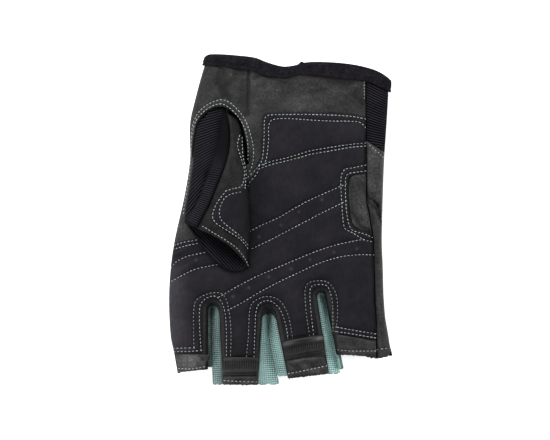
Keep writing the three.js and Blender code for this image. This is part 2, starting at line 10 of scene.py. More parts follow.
import bpy
import numpy as np
from mathutils import Vector
from mathutils.bvhtree import BVHTree
from mathutils.kdtree import KDTree
from mathutils.geometry import delaunay_2d_cdt
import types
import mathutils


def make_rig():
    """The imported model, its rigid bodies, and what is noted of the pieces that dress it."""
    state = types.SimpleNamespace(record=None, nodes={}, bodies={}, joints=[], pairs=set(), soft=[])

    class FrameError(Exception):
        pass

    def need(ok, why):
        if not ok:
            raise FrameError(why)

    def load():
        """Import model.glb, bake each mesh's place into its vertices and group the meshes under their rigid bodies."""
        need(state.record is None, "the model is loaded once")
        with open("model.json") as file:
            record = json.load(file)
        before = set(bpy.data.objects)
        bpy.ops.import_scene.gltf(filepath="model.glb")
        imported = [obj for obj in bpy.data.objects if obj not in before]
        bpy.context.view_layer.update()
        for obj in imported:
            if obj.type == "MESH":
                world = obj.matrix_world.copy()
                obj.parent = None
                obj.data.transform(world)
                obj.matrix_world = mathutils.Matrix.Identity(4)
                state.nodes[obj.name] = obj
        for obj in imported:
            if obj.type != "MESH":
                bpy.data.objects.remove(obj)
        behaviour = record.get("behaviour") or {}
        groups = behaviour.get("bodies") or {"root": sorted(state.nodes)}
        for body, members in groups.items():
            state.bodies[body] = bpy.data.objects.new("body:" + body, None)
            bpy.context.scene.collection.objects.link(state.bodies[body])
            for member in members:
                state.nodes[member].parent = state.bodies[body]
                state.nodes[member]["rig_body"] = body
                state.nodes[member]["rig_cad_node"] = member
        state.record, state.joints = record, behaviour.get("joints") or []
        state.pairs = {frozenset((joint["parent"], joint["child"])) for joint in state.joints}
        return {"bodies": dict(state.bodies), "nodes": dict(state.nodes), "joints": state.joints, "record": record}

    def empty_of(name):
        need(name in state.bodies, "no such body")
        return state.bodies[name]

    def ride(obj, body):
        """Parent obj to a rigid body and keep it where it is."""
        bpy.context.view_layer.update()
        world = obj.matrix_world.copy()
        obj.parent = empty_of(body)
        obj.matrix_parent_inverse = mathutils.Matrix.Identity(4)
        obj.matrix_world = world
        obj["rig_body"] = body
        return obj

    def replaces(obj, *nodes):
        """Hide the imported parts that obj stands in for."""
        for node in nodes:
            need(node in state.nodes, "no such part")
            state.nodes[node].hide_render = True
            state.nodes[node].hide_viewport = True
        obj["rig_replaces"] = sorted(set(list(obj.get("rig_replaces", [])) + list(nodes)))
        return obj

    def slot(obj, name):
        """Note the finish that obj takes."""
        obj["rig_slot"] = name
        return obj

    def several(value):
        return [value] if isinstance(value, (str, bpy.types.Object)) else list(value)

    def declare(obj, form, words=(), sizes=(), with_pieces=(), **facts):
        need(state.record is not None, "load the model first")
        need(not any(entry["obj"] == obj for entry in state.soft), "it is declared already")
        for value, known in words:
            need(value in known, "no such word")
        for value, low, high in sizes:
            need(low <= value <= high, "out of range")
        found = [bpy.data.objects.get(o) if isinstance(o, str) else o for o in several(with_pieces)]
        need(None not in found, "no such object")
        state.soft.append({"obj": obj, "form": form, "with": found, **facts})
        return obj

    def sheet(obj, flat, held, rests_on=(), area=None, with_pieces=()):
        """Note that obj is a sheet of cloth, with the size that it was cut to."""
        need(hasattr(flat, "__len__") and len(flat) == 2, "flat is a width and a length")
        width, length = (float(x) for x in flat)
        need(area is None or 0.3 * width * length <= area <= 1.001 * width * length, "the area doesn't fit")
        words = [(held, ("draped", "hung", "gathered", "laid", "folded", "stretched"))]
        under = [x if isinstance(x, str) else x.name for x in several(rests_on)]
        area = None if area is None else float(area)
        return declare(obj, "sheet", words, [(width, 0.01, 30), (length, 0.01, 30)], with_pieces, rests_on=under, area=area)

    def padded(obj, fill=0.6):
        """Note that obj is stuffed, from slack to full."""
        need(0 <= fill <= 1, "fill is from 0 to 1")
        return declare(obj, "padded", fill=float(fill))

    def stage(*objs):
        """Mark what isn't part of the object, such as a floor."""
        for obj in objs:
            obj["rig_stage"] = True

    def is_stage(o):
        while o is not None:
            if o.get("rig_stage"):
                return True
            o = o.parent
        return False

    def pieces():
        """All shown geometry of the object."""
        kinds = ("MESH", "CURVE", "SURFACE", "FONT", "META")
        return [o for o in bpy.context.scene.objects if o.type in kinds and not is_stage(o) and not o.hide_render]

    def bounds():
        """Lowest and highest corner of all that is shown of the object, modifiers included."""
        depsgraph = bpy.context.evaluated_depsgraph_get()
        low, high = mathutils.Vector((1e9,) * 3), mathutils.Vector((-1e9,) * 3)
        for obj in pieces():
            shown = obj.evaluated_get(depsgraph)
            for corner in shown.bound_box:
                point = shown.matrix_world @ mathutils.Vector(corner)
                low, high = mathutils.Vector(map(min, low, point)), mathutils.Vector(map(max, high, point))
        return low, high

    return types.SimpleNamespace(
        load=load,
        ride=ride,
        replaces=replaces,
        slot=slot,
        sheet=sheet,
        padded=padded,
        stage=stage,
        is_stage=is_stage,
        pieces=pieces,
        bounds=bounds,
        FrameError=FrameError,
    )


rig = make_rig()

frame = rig.load()
cad_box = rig.bounds()

MM = 0.001
QUARTER = math.pi / 2

# Layers of cloth and leather
WALL = 1.6
GAP = 0.3
PAD = 1.2
SEAM_HEIGHT = 6.0
SIDE_TURN = 5.0

# Stitches
STITCH_PITCH = 1.85
STITCH_LENGTH = 1.25
THREAD = 0.32

# The flattened hand from the wrist to the fingertips
HAND_Y = [84, 74, 62, 48, 30, 12, -10, -24, -40, -58, -68, -86]
HAND_LEFT = [-35.9, -38.8, -42.1, -45.2, -45.2, -47.9, -52.8, -54.9, -55.7, -54.9, -52.9, -49.8]
HAND_RIGHT = [54.4, 54.4, 54.0, 53.2, 52.0, 51.3, 50.8, 51.3, 51.8, 53.6, 56.0, 56.0]
HAND_HEIGHT = [14.5, 14.5, 15.0, 16.0, 16.5, 16.5, 16.0, 15.8, 15.5, 14.5, 13.5, 12.0]
HAND_REST = [1.35, 1.35, 1.35, 0, 0, 0, 0, 0, 0, 0, 0, 0]

# Valleys in the palm side: from x, y to x, y, then depth and half-width
PALM_VALLEYS = [
    (-33.5, -44, -32.0, -86, 2.6, 6),
    (-5.9, -47, -1.6, -86, 2.6, 6),
    (20.6, -39, 29.0, -80, 2.6, 6),
    (-15.5, 76, -16.5, 52, 0.9, 3),
    (-29.0, 75, -27.0, 62, 0.6, 3),
    (33.0, 66, 41.0, 57, 0.7, 3),
    (43.0, 12, 50.0, 3, 1.0, 3),
    (1.0, 84, 1.0, 66, 1.0, 10),
    (-4.0, -12, 16.0, 24, 0.9, 18),
]

WRIST_X = [-41, -37.8, -36.6, -34.8, -22.5, -13, -7.5, 1, 7, 12, 20, 32.5, 42.5, 50, 54.4, 57]
WRIST_Y = [73, 79.2, 81.8, 82.75, 82.1, 80.9, 78.8, 76.6, 77.1, 78.5, 78.9, 78.1, 76.3, 73.6, 70.2, 66.5]
WRIST_MIDDLE_Y = 76.3

BINDING_WIDTH = 5.5
BINDING_CLEARANCE = 0.55
BINDING_THICKNESS = 0.8
BINDING_FOLD = 2.0
LEAST_FOLD = 1.5
BINDING_OVERLAP = 2.5

# Lower edge of the binding on the palm side
BINDING_LOW_X = [-41, -38, -30, -25, -20, -15, -10, -5, 1.4, 5, 8, 12.4, 20, 30, 41, 48, 52, 55, 57]
BINDING_LOW_Y = [
    77.4, 77.3, 77, 76.3, 75.3, 74.9, 73.4, 71.8, 70.8, 71, 72, 72.6, 71.9, 70.6, 69.3, 66.7, 64.9, 63.4, 62.4,
]

SIDE_SEAM_Y = [90, 10, 2, -10, -24, -40, -55, -90]
SIDE_SEAM_X = [43.0, 43.2, 44.6, 46.3, 46.9, 47.3, 48.0, 48.4]
GUSSET_END = [(42.0, 40.4), (60.0, 28.4)]


def curve_value(places, values, at):
    """Smooth value at each place, through the known ones."""
    places, values = np.asarray(places, float), np.asarray(values, float)
    if places[0] > places[-1]:
        places, values = places[::-1], values[::-1]
    last = len(places) - 1
    before, after = np.maximum(np.arange(last + 1) - 1, 0), np.minimum(np.arange(last + 1) + 1, last)
    slope = (values[after] - values[before]) / (places[after] - places[before])
    at = np.asarray(at, float)
    k = np.clip(np.searchsorted(places, at, side="right") - 1, 0, last - 1)
    span = places[k + 1] - places[k]
    t = np.clip((at - places[k]) / span, 0, 1)
    rise = t * t * (3 - 2 * t)
    start = values[k] * (1 - rise) + slope[k] * span * t * (1 - t) ** 2
    return start + values[k + 1] * rise - slope[k + 1] * span * t * t * (1 - t)


def bell(distance, width, power=2):
    """One at no distance, fading to nothing over about this width."""
    return np.exp(-((distance / width) ** power))


def ramp(value, length):
    """Rises evenly from 0 to 1 over this length."""
    return np.clip(value / length, 0, 1)


def spot(x, y, middle_x, middle_y, width, height):
    return bell(x - middle_x, width) * bell(y - middle_y, height)


def roundness(across, power):
    """Height of a rounded section, from 1 in the middle to 0 at both sides."""
    return np.sqrt(1 - np.minimum(1, np.abs(across)) ** power)


def line_distance(x, y, x1, y1, x2, y2):
    along_x, along_y = x2 - x1, y2 - y1
    t = np.clip(((x - x1) * along_x + (y - y1) * along_y) / (along_x**2 + along_y**2), 0, 1)
    return np.hypot(x - x1 - t * along_x, y - y1 - t * along_y)


def pressed(lines, x, y, join=np.add):
    """What lines add up to at a place: each runs from x, y to x, y, then how much and how wide."""
    total = np.zeros(np.shape(x))
    for *line, much, width in lines:
        total = join(total, much * bell(line_distance(x, y, *line), width))
    return total


def creased(lines, x, y):
    """Depth of the deepest of several creases at a place."""
    return pressed(lines, x, y, np.maximum)


def waves(x, y, length, seed, count=9):
    """Gentle unevenness between about -1 and 1, with its hollows about this length apart."""
    chance = np.random.default_rng(seed)
    total = np.zeros(np.shape(x))
    for _ in range(count):
        turn, start = chance.uniform(0, math.tau, 2)
        size = length * chance.uniform(0.7, 1.5)
        total = total + np.sin(math.tau * (x * math.cos(turn) + y * math.sin(turn)) / size + start)
    return 0.8 * total / math.sqrt(count)


def hand_at(y):
    left, right = curve_value(HAND_Y, HAND_LEFT, y), curve_value(HAND_Y, HAND_RIGHT, y)
    rest = np.maximum(0, curve_value(HAND_Y, HAND_REST, y))
    return (left + right) / 2, (right - left) / 2, curve_value(HAND_Y, HAND_HEIGHT, y), rest


def palm_point(angle, y, offset=0.0):
    """A point on the palm side, at an angle from the middle, moved outwards by an offset."""
    centre, half, height, _ = hand_at(y)
    across = np.sin(angle)
    x = centre + (half + offset) * across
    seam = SEAM_HEIGHT + GAP / 2
    crown = roundness(across, 3)
    z = seam + crown * (height - seam + offset - pressed(PALM_VALLEYS, x, y))
    return np.stack([x, y + 0 * x, z], axis=-1)


def palm_height(x, y, offset=0.0):
    centre, half, _, _ = hand_at(y)
    angle = np.arcsin(np.clip((x - centre) / (half + offset), -1, 1))
    return palm_point(angle, y, offset)[..., 2]


def back_point(angle, y, offset=0.0):
    centre, half, _, rest = hand_at(y)
    across = np.sin(angle)
    x = centre + (half + offset) * across
    seam = SEAM_HEIGHT - GAP / 2
    flat = np.minimum(1, 1.12 * roundness(across, 4))
    return np.stack([x, y + 0 * x, seam - flat * (seam - rest + offset)], axis=-1)


def unrolled(points):
    """Points in x and y, moved to where they lie once the hand's rounded sides are opened out flat."""
    points = np.asarray(points, float)
    centre, half, _, _ = hand_at(points[:, 1])
    angle = np.arcsin(np.clip((points[:, 0] - centre) / half, -1, 1))
    return np.column_stack([angle * half, points[:, 1]])


def side_angle(flat):
    _, half, _, _ = hand_at(flat[:, 1])
    return np.clip(flat[:, 0] / half, -QUARTER, QUARTER)


# Lines and outlines


def drawn(*points):
    """A line on the pattern sheet, which is ruled in half millimetres from its upper left corner."""
    return np.array([((x - 280.25) / 2, (219.5 - y) / 2) for x, y in points])


def even(line, step, closed=False):
    """The line with points at even steps."""
    line = np.asarray(line, float)
    if closed:
        line = np.vstack([line, line[:1]])
    run = np.concatenate([[0], np.cumsum(np.hypot(*np.diff(line, axis=0).T[:2]))])
    count = max(2, int(round(run[-1] / step)))
    at = np.linspace(0, run[-1], count + 1)
    if closed:
        at = at[:-1]
    return np.column_stack([np.interp(at, run, line[:, k]) for k in range(line.shape[1])])


def smooth(points, step=0.4, closed=False):
    """A smooth line through the points, with points at even steps."""
    points = np.asarray(points, float)
    if len(points) < 3:
        return even(points, step, closed)
    if closed:
        known = np.vstack([points[-1:], points, points[:2]])
    else:
        known = np.vstack([2 * points[0] - points[1], points, 2 * points[-1] - points[-2]])
    parts = []
    for p0, p1, p2, p3 in zip(known, known[1:], known[2:], known[3:]):
        t = np.linspace(0, 1, 12, endpoint=False)[:, None]
        reach = np.linalg.norm(p2 - p1)
        start = (p2 - p0) * reach / max(1e-6, np.linalg.norm(p2 - p1) + np.linalg.norm(p1 - p0))
        end = (p3 - p1) * reach / max(1e-6, np.linalg.norm(p2 - p1) + np.linalg.norm(p3 - p2))
        parts.append(
            (2 * t**3 - 3 * t**2 + 1) * p1
            + (t**3 - 2 * t**2 + t) * start
            + (3 * t**2 - 2 * t**3) * p2
            + (t**3 - t**2) * end
        )
    if not closed:
        parts.append(known[-2:-1])
    return even(np.vstack(parts), step, closed)

def curved(*points):
    return smooth(drawn(*points))


def nearest(points, lines, fineness=0.15):
    """Distance from each point to the lines, and how far along its line the nearest place is."""
    if not lines:
        return np.full(len(points), 1e3), np.zeros(len(points))
    dense, runs = [], []
    for line in lines:
        line = even(line, fineness)
        dense.append(line)
        runs.append(np.arange(len(line)) * fineness)
    dense, runs = np.vstack(dense), np.concatenate(runs)
    tree = KDTree(len(dense))
    for k, (x, y) in enumerate(dense.tolist()):
        tree.insert((x, y, 0), k)
    tree.balance()
    found = [tree.find((x, y, 0)) for x, y in np.asarray(points).tolist()]
    index = np.array([k for _, k, _ in found])
    return np.array([far for _, _, far in found]), runs[index]


def inside(points, loops):
    """Whether each point is inside an outline and outside its holes."""
    result = np.zeros(len(points), bool)
    for low in range(0, len(points), 2000):
        x, y = points[low : low + 2000, 0, None], points[low : low + 2000, 1, None]
        crossings = np.zeros(len(x), int)
        for loop in loops:
            ax, ay = loop.T
            bx, by = np.roll(loop, -1, axis=0).T
            spans = (ay > y) != (by > y)
            with np.errstate(divide="ignore", invalid="ignore"):
                at = ax + (y - ay) * (bx - ax) / (by - ay)
            crossings += (spans & (x < at)).sum(axis=1)
        result[low : low + 2000] = crossings % 2 == 1
    return result


def filled(loops, spacing, insets=()):
    """Points, triangles and distance to the edge of an area, in even triangles with rows along its edge."""
    loops = [even(loop, spacing, closed=True) for loop in loops]
    closed = [np.vstack([loop, loop[:1]]) for loop in loops]
    fineness = 0.05
    added = []
    for inset in insets:
        for loop in closed:
            along = np.roll(loop[:-1], -1, axis=0) - np.roll(loop[:-1], 1, axis=0)
            along /= np.maximum(np.hypot(*along.T), 1e-9)[:, None]
            for side in (1, -1):
                row = loop[:-1] + side * inset * np.column_stack([-along[:, 1], along[:, 0]])
                far, _ = nearest(row, closed, fineness)
                row = row[far > 0.93 * inset]
                added.append(row[inside(row, loops)])
    low, high = np.min([loop.min(0) for loop in loops], 0), np.max([loop.max(0) for loop in loops], 0)
    ys = np.arange(low[1] + spacing / 2, high[1], spacing * math.sqrt(3) / 2)
    rows = []
    for k, y in enumerate(ys):
        xs = np.arange(low[0] + (k % 2) * spacing / 2, high[0], spacing)
        rows.append(np.column_stack([xs, np.full(len(xs), y)]))
    grid = np.vstack(rows)
    grid = grid[inside(grid, loops)]
    margin = max(insets) + 0.4 * spacing if insets else 0.55 * spacing
    far, _ = nearest(grid, closed, fineness)
    grid = grid[far > margin]
    points = np.vstack([*loops, *added, grid])
    edges, first = [], 0
    for loop in loops:
        count = len(loop)
        edges += [(first + k, first + (k + 1) % count) for k in range(count)]
        first += count
    found, _, faces, *_ = delaunay_2d_cdt([Vector(p) for p in points.tolist()], edges, [], 0, 1e-5)
    flat = np.array([tuple(p) for p in found])
    faces = np.array([tuple(f) for f in faces])
    faces = faces[inside(flat[faces].mean(axis=1), loops)]
    used, faces = np.unique(faces, return_inverse=True)
    faces = faces.reshape(-1, 3)
    flat = flat[used]
    a, b, c = flat[faces[:, 0]], flat[faces[:, 1]], flat[faces[:, 2]]
    turned = (b[:, 0] - a[:, 0]) * (c[:, 1] - a[:, 1]) - (b[:, 1] - a[:, 1]) * (c[:, 0] - a[:, 0]) < 0
    faces[turned] = faces[turned][:, ::-1]
    far, _ = nearest(flat, closed, fineness)
    return flat, faces, np.where(far < 0.6 * fineness, 0, far)


def cut_size(loops):
    """Width and length of a cut piece, in metres, and its area without its holes, in square metres.

    The cloth goes down the hand's rounded sides, so there the cut is wider than it looks from above.
    """
    sizes, cuts = [], []
    for loop in loops:
        centre, half, _, _ = hand_at(loop[:, 1])
        across = np.clip((loop[:, 0] - centre) / half, -1, 1)
        cuts.append(np.column_stack([across * half + SIDE_TURN * across**7, loop[:, 1]]))
    for loop in cuts:
        x, y = loop.T
        sizes.append(abs(np.sum(x * np.roll(y, -1) - y * np.roll(x, -1))) / 2)
    width, length = np.ptp(cuts[0], axis=0) * MM
    return {"flat": (float(width), float(length)), "area": float(sizes[0] - sum(sizes[1:])) * MM**2}


def strip_size(grid, allowance=0.0):
    """Width and length of a strip of cloth, in metres, along its grid of points, with its seam allowance."""
    width = np.linalg.norm(np.diff(grid, axis=1), axis=2).sum(axis=1).mean()
    length = np.linalg.norm(np.diff(grid, axis=0), axis=2).sum(axis=0).mean()
    return {"flat": (float((width + allowance) * MM), float((length + allowance) * MM))}


# Meshes


def new_piece(name, points, faces, finish, **values):
    """A piece at the origin, smooth shaded, with its named values stored on its points."""
    mesh = bpy.data.meshes.new(name)
    count, corners = faces.shape
    mesh.vertices.add(len(points))
    mesh.vertices.foreach_set("co", (points * MM).astype(np.float32).ravel())
    mesh.loops.add(count * corners)
    mesh.loops.foreach_set("vertex_index", faces.astype(np.int32).ravel())
    mesh.polygons.add(count)
    mesh.polygons.foreach_set("loop_start", np.arange(0, count * corners, corners, dtype=np.int32))
    mesh.polygons.foreach_set("loop_total", np.full(count, corners, dtype=np.int32))
    mesh.update(calc_edges=True)
    mesh.polygons.foreach_set("use_smooth", [True] * count)
    for label, value in values.items():
        layer = mesh.attributes.new(label, "FLOAT", "POINT")
        layer.data.foreach_set("value", np.asarray(value, np.float32))
    mesh.materials.append(finish)
    mesh.validate()
    return linked(name, mesh)


def linked(name, data):
    thing = bpy.data.objects.new(name, data)
    bpy.context.scene.collection.objects.link(thing)
    return thing


def doubled(values):
    """Values for both layers of a wall. Only the outer layer gets ribs."""
    return {
        label: np.concatenate([value.ravel(), (0 if label == "rib_depth" else 1) * value.ravel()])
        for label, value in values.items()
    }


def two_layers(upper, lower, faces):
    """A closed wall between an upper and a lower layer of the same triangles."""
    count = len(upper)
    edges = np.vstack([faces[:, [0, 1]], faces[:, [1, 2]], faces[:, [2, 0]]])
    _, index, uses = np.unique(np.sort(edges, axis=1), axis=0, return_index=True, return_counts=True)
    a, b = edges[index[uses == 1]].T
    walls = np.vstack([np.column_stack([b, a, a + count]), np.column_stack([b, a + count, b + count])])
    return np.vstack([upper, lower]), np.vstack([faces, faces[:, ::-1] + count, walls])


def grid_faces(columns, rows, wrapped=False):
    """Quads over a grid whose points run along its columns first."""
    less = 0 if wrapped else 1
    i, j = np.meshgrid(np.arange(columns - less), np.arange(rows - less))
    i, j = i.ravel(), j.ravel()
    at = lambda a, b: (a % columns) + columns * (b % rows)
    return np.column_stack([at(i, j), at(i + 1, j), at(i + 1, j + 1), at(i, j + 1)])


def outward(points, faces):
    p = points[faces]
    volume = (p[:, 0] * np.cross(p[:, 1], p[:, 2]) + p[:, 0] * np.cross(p[:, 2], p[:, 3])).sum()
    return faces if volume > 0 else faces[:, ::-1]


def walled(name, outer, inner, finish, **values):
    """A piece between two grids of points, rows by columns."""
    rows, columns = outer.shape[:2]
    count = rows * columns
    faces = grid_faces(columns, rows)
    at = np.arange(count).reshape(rows, columns)
    rim = np.array([*at[0, :-1], *at[:-1, -1], *at[-1, :0:-1], *at[:0:-1, 0]])
    after = np.roll(rim, -1)
    walls = np.column_stack([after, rim, rim + count, after + count])
    points = np.vstack([outer.reshape(-1, 3), inner.reshape(-1, 3)])
    faces = outward(points, np.vstack([faces, faces[:, ::-1] + count, walls]))
    values = {label: np.broadcast_to(value, (rows, columns)) for label, value in values.items()}
    return new_piece(name, points, faces, finish, **doubled(values))


def edge_round(far, radius):
    """Share of its height that a layer has near its rounded edge."""
    return np.sqrt(1 - (1 - ramp(far, radius)) ** 2)


def kept(piece, slot, node=None):
    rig.ride(piece, "root")
    if node:
        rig.replaces(piece, node)
    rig.slot(piece, slot)
    return piece


# Geometry Nodes: ribs raised on knit, and stitches set along lines


def put(tree, kind, sources=(), out=0, **settings):
    """An output of a new node, with its settings, and its inputs linked or set."""
    node = tree.nodes.new(kind)
    for key, value in settings.items():
        setattr(node, key, value)
    for socket, source in dict(sources).items():
        if isinstance(source, bpy.types.NodeSocket):
            tree.links.new(source, node.inputs[socket])
        else:
            node.inputs[socket].default_value = source
    return node.outputs[out]


def new_tree(name, inputs):
    tree = bpy.data.node_groups.new(name, "GeometryNodeTree")
    for label, kind, value in [("Geometry", "Geometry", None), *inputs, ("Finish", "Material", None)]:
        socket = tree.interface.new_socket(label, in_out="INPUT", socket_type="NodeSocket" + kind)
        if value is not None:
            socket.default_value = value
    tree.interface.new_socket("Geometry", in_out="OUTPUT", socket_type="NodeSocketGeometry")
    return tree, tree.nodes.new("NodeGroupInput").outputs


def finish_tree(tree, given, geometry):
    whole = put(tree, "GeometryNodeRealizeInstances", {"Geometry": geometry})
    dressed = put(tree, "GeometryNodeSetMaterial", {"Geometry": whole, "Material": given["Finish"]})
    tree.links.new(dressed, tree.nodes.new("NodeGroupOutput").inputs[0])
    return tree


def point_value(tree, name, kind="FLOAT"):
    return put(tree, "GeometryNodeInputNamedAttribute", {"Name": name}, data_type=kind)


def scaled_vector(tree, vector, factor):
    return put(tree, "ShaderNodeVectorMath", {0: vector, "Scale": factor}, operation="SCALE")


def ribs_tree():
    """Sinks the furrows between ribs: the point value rib counts them, and rib_depth says how deep."""
    tree, given = new_tree("raise_ribs", [("Depth", "Float", 0.2 * MM)])

    def step(operation, first, second=0.0):
        return put(tree, "ShaderNodeMath", {0: first, 1: second}, operation=operation)

    crest = step("ABSOLUTE", step("SINE", step("MULTIPLY", point_value(tree, "rib"), math.pi)))
    deep = step("MULTIPLY", step("SUBTRACT", crest, 1.0), given["Depth"])
    here = step("MULTIPLY", deep, point_value(tree, "rib_depth"))
    move = scaled_vector(tree, put(tree, "GeometryNodeInputNormal"), here)
    moved = put(tree, "GeometryNodeSetPosition", {"Geometry": given["Geometry"], "Offset": move})
    return finish_tree(tree, given, moved)


def along_lines_tree():
    """Sets a small shape at even steps along lines, turned along them, with a little unevenness."""
    inputs = [("Pitch", "Float", STITCH_PITCH * MM), ("Shape", "Object", None), ("Lean", "Float", 0.1)]
    tree, given = new_tree("set_along_lines", [*inputs, ("Seed", "Int", 3)])
    lines = put(tree, "GeometryNodeMeshToCurve", {"Mesh": given["Geometry"]})
    steps = put(tree, "GeometryNodeResampleCurve", {"Curve": lines, "Length": given["Pitch"]}, mode="LENGTH")
    shape = put(tree, "GeometryNodeObjectInfo", {"Object": given["Shape"]}, "Geometry")
    tangent = put(tree, "GeometryNodeInputTangent")
    turn = "FunctionNodeAlignRotationToVector"
    forward = put(tree, turn, {"Vector": tangent}, axis="X")
    up = point_value(tree, "up", "FLOAT_VECTOR")
    upright = put(tree, turn, {"Rotation": forward, "Vector": up}, axis="Z", pivot_axis="X")
    lean = scaled_vector(tree, (0.3, 0.3, 1.0), given["Lean"])
    limits = {"Min": scaled_vector(tree, lean, -1.0), "Max": lean, "Seed": given["Seed"]}
    uneven = put(tree, "FunctionNodeRandomValue", limits, data_type="FLOAT_VECTOR")
    as_turn = put(tree, "FunctionNodeEulerToRotation", {"Euler": uneven})
    turned = put(
        tree, "FunctionNodeRotateRotation", {"Rotation": upright, "Rotate By": as_turn}, rotation_space="LOCAL"
    )
    limits = {2: 0.93, 3: 1.07, "Seed": given["Seed"]}
    size = put(tree, "FunctionNodeRandomValue", limits, 1, data_type="FLOAT")
    sources = {"Points": steps, "Instance": shape, "Rotation": turned, "Scale": size}
    return finish_tree(tree, given, put(tree, "GeometryNodeInstanceOnPoints", sources))


def worked(piece, tree, **values):
    """Runs a tree on a piece and keeps the result as the piece's plain mesh."""
    modifier = piece.modifiers.new(tree.name, "NODES")
    modifier.node_group = tree
    for item in tree.interface.items_tree:
        if item.item_type == "SOCKET" and item.in_out == "INPUT" and item.name in values:
            modifier[item.identifier] = values[item.name]
    made = bpy.data.meshes.new_from_object(piece.evaluated_get(bpy.context.evaluated_depsgraph_get()))
    piece.modifiers.remove(modifier)
    old, piece.data = piece.data, made
    made.name = piece.name
    bpy.data.meshes.remove(old)
    made.polygons.foreach_set("use_smooth", [True] * len(made.polygons))


def ribbed(piece, depth, finish):
    worked(piece, RIBS, Depth=depth * MM, Finish=finish)


# Materials


class Finish:
    """A material made up of nodes, read in the object's own place or from values on its points."""

    def __init__(self, name, roughness, specular, sheen=0.0):
        self.material = bpy.data.materials.new(name)
        self.material.use_nodes = True
        self.tree = self.material.node_tree
        self.shader = self.tree.nodes["Principled BSDF"].inputs
        self.shader["Roughness"].default_value = roughness
        self.shader["Specular IOR Level"].default_value = specular
        self.shader["Sheen Weight"].default_value = sheen
        self.place = self.put("TexCoord", out="Object")

    def put(self, kind, sources=(), out=0, **settings):
        return put(self.tree, "ShaderNode" + kind, sources, out, **settings)

    def value(self, name):
        return self.put("Attribute", out="Fac", attribute_name=name)

    def noise(self, size, detail=3.0, roughness=0.5, stretch=None):
        """Soft random grain whose grains are about this many millimetres across."""
        place = self.put("Mapping", {"Vector": self.place, "Scale": stretch}) if stretch else self.place
        grain = {"Scale": 1 / (size * MM), "Detail": detail, "Roughness": roughness}
        return self.put("TexNoise", {"Vector": place, **grain})

    def cells(self, size):
        return self.put("TexVoronoi", {"Vector": self.place, "Scale": 1 / (size * MM)}, "Distance")

    def math(self, operation, *numbers):
        return self.put("Math", enumerate(numbers), operation=operation)

    def crests(self, label):
        """One along the middle of each rib or post, and nothing between them."""
        turn = self.math("MULTIPLY", self.value(label), math.pi)
        return self.math("ABSOLUTE", self.math("SINE", turn))

    def spread(self, value, low, high, to_low=0.0, to_high=1.0):
        curve = "SMOOTHSTEP" if (to_low, to_high) == (0, 1) else "LINEAR"
        limits = {"From Min": low, "From Max": high, "To Min": to_low, "To Max": to_high}
        return self.put("MapRange", {"Value": value, **limits}, interpolation_type=curve)

    def mix(self, share, *colours):
        first, second = [c if isinstance(c, bpy.types.NodeSocket) else (*c, 1) for c in colours]
        return self.put("Mix", {0: share, 6: first, 7: second}, 2, data_type="RGBA")

    def clouded(self, cloud, dark, light):
        return self.mix(self.spread(cloud, 0.3, 0.7), dark, light)

    def scaled(self, colour, factor):
        return scaled_vector(self.tree, colour, factor)

    def toned(self, colour, strength=0.6):
        """The colour made darker or lighter by the value that each point has: its uneven colour, painted shade in
        creases, seams and hollows, and painted highlights.
        """
        factor = self.math("MULTIPLY_ADD", self.value("tone"), strength, 1.0)
        return self.scaled(colour, self.math("MAXIMUM", factor, 0.05))

    def bump(self, height, depth, strength=1.0, *under):
        sources = {"Height": height, "Distance": depth * MM, "Strength": strength}
        return self.put("Bump", {**sources, **{"Normal": normal for normal in under}})

    def done(self, colour, normal, roughness=None):
        for label, source in (("Base Color", colour), ("Normal", normal), ("Roughness", roughness)):
            if source is not None:
                self.tree.links.new(source, self.shader[label])
        return self.material


def leather_finish(name, dark, light, gloss, speckle=1.0):
    f = Finish(name, 0.5, gloss)
    fine, cloud, fleck = f.noise(1.0, 4, 0.75), f.noise(9, 4, 0.6), f.noise(1.5, 3, 0.7)
    grain = f.spread(fine, 0.36, 0.64, 1 - 0.65 * speckle, 1 + 0.6 * speckle)
    colour = f.scaled(f.clouded(cloud, dark, light), grain)
    patchy = f.math("MULTIPLY", f.spread(fleck, 0.56, 0.74), f.spread(cloud, 0.4, 0.65))
    colour = f.mix(f.math("MULTIPLY", patchy, 0.75 * speckle), colour, [3.2 * c for c in light])
    crease = f.bump(f.noise(4.0, 6, 0.6), 0.35, 0.55)
    normal = f.bump(fine, 0.12, 0.5, f.bump(f.cells(0.9), 0.16, 0.5, crease))
    rough = f.spread(f.math("ADD", cloud, f.math("MULTIPLY", fine, 0.5)), 0.4, 1.1, 0.42, 0.66)
    return f.done(f.toned(colour), normal, rough)


def suede_finish(name, dark, light):
    f = Finish(name, 0.95, 0.08)
    nap, cloud = f.noise(0.35, 4, 0.7), f.noise(12, 5, 0.6)
    brushed = f.noise(1.4, 4, 0.6, stretch=(1.0, 0.45, 1.0))
    colour = f.mix(f.spread(nap, 0.35, 0.75, 0.0, 0.45), f.clouded(cloud, dark, light),
        [1.8 * c for c in light])
    colour = f.mix(f.spread(brushed, 0.3, 0.6, 0.35, 0.0), colour, [0.5 * c for c in dark])
    normal = f.bump(nap, 0.14, 0.7, f.bump(brushed, 0.2, 0.4))
    return f.done(f.toned(colour), normal, f.spread(cloud, 0.3, 0.7, 0.86, 0.98))


def rib_finish(name, furrow, crest, specular=0.05):
    """Rib knit: fine loops along each rib, with painted highlight on the crests and painted shade in the furrows."""
    f = Finish(name, 0.85, specular)
    loops, cloud = f.noise(0.45, 4, 0.6), f.noise(8, 3)
    knit = f.mix(f.spread(f.crests("rib"), 0.5, 1.0), furrow, crest)
    colour = f.mix(f.spread(f.value("rib_depth"), 0.05, 0.6), f.mix(0.22, furrow, crest), knit)
    colour = f.scaled(colour, f.spread(loops, 0.3, 0.7, 0.65, 1.35))
    colour = f.scaled(colour, f.spread(cloud, 0.3, 0.75, 0.85, 1.2))
    return f.done(f.toned(colour), f.bump(loops, 0.12, 0.8), f.spread(loops, 0.3, 0.7, 0.8, 0.95))


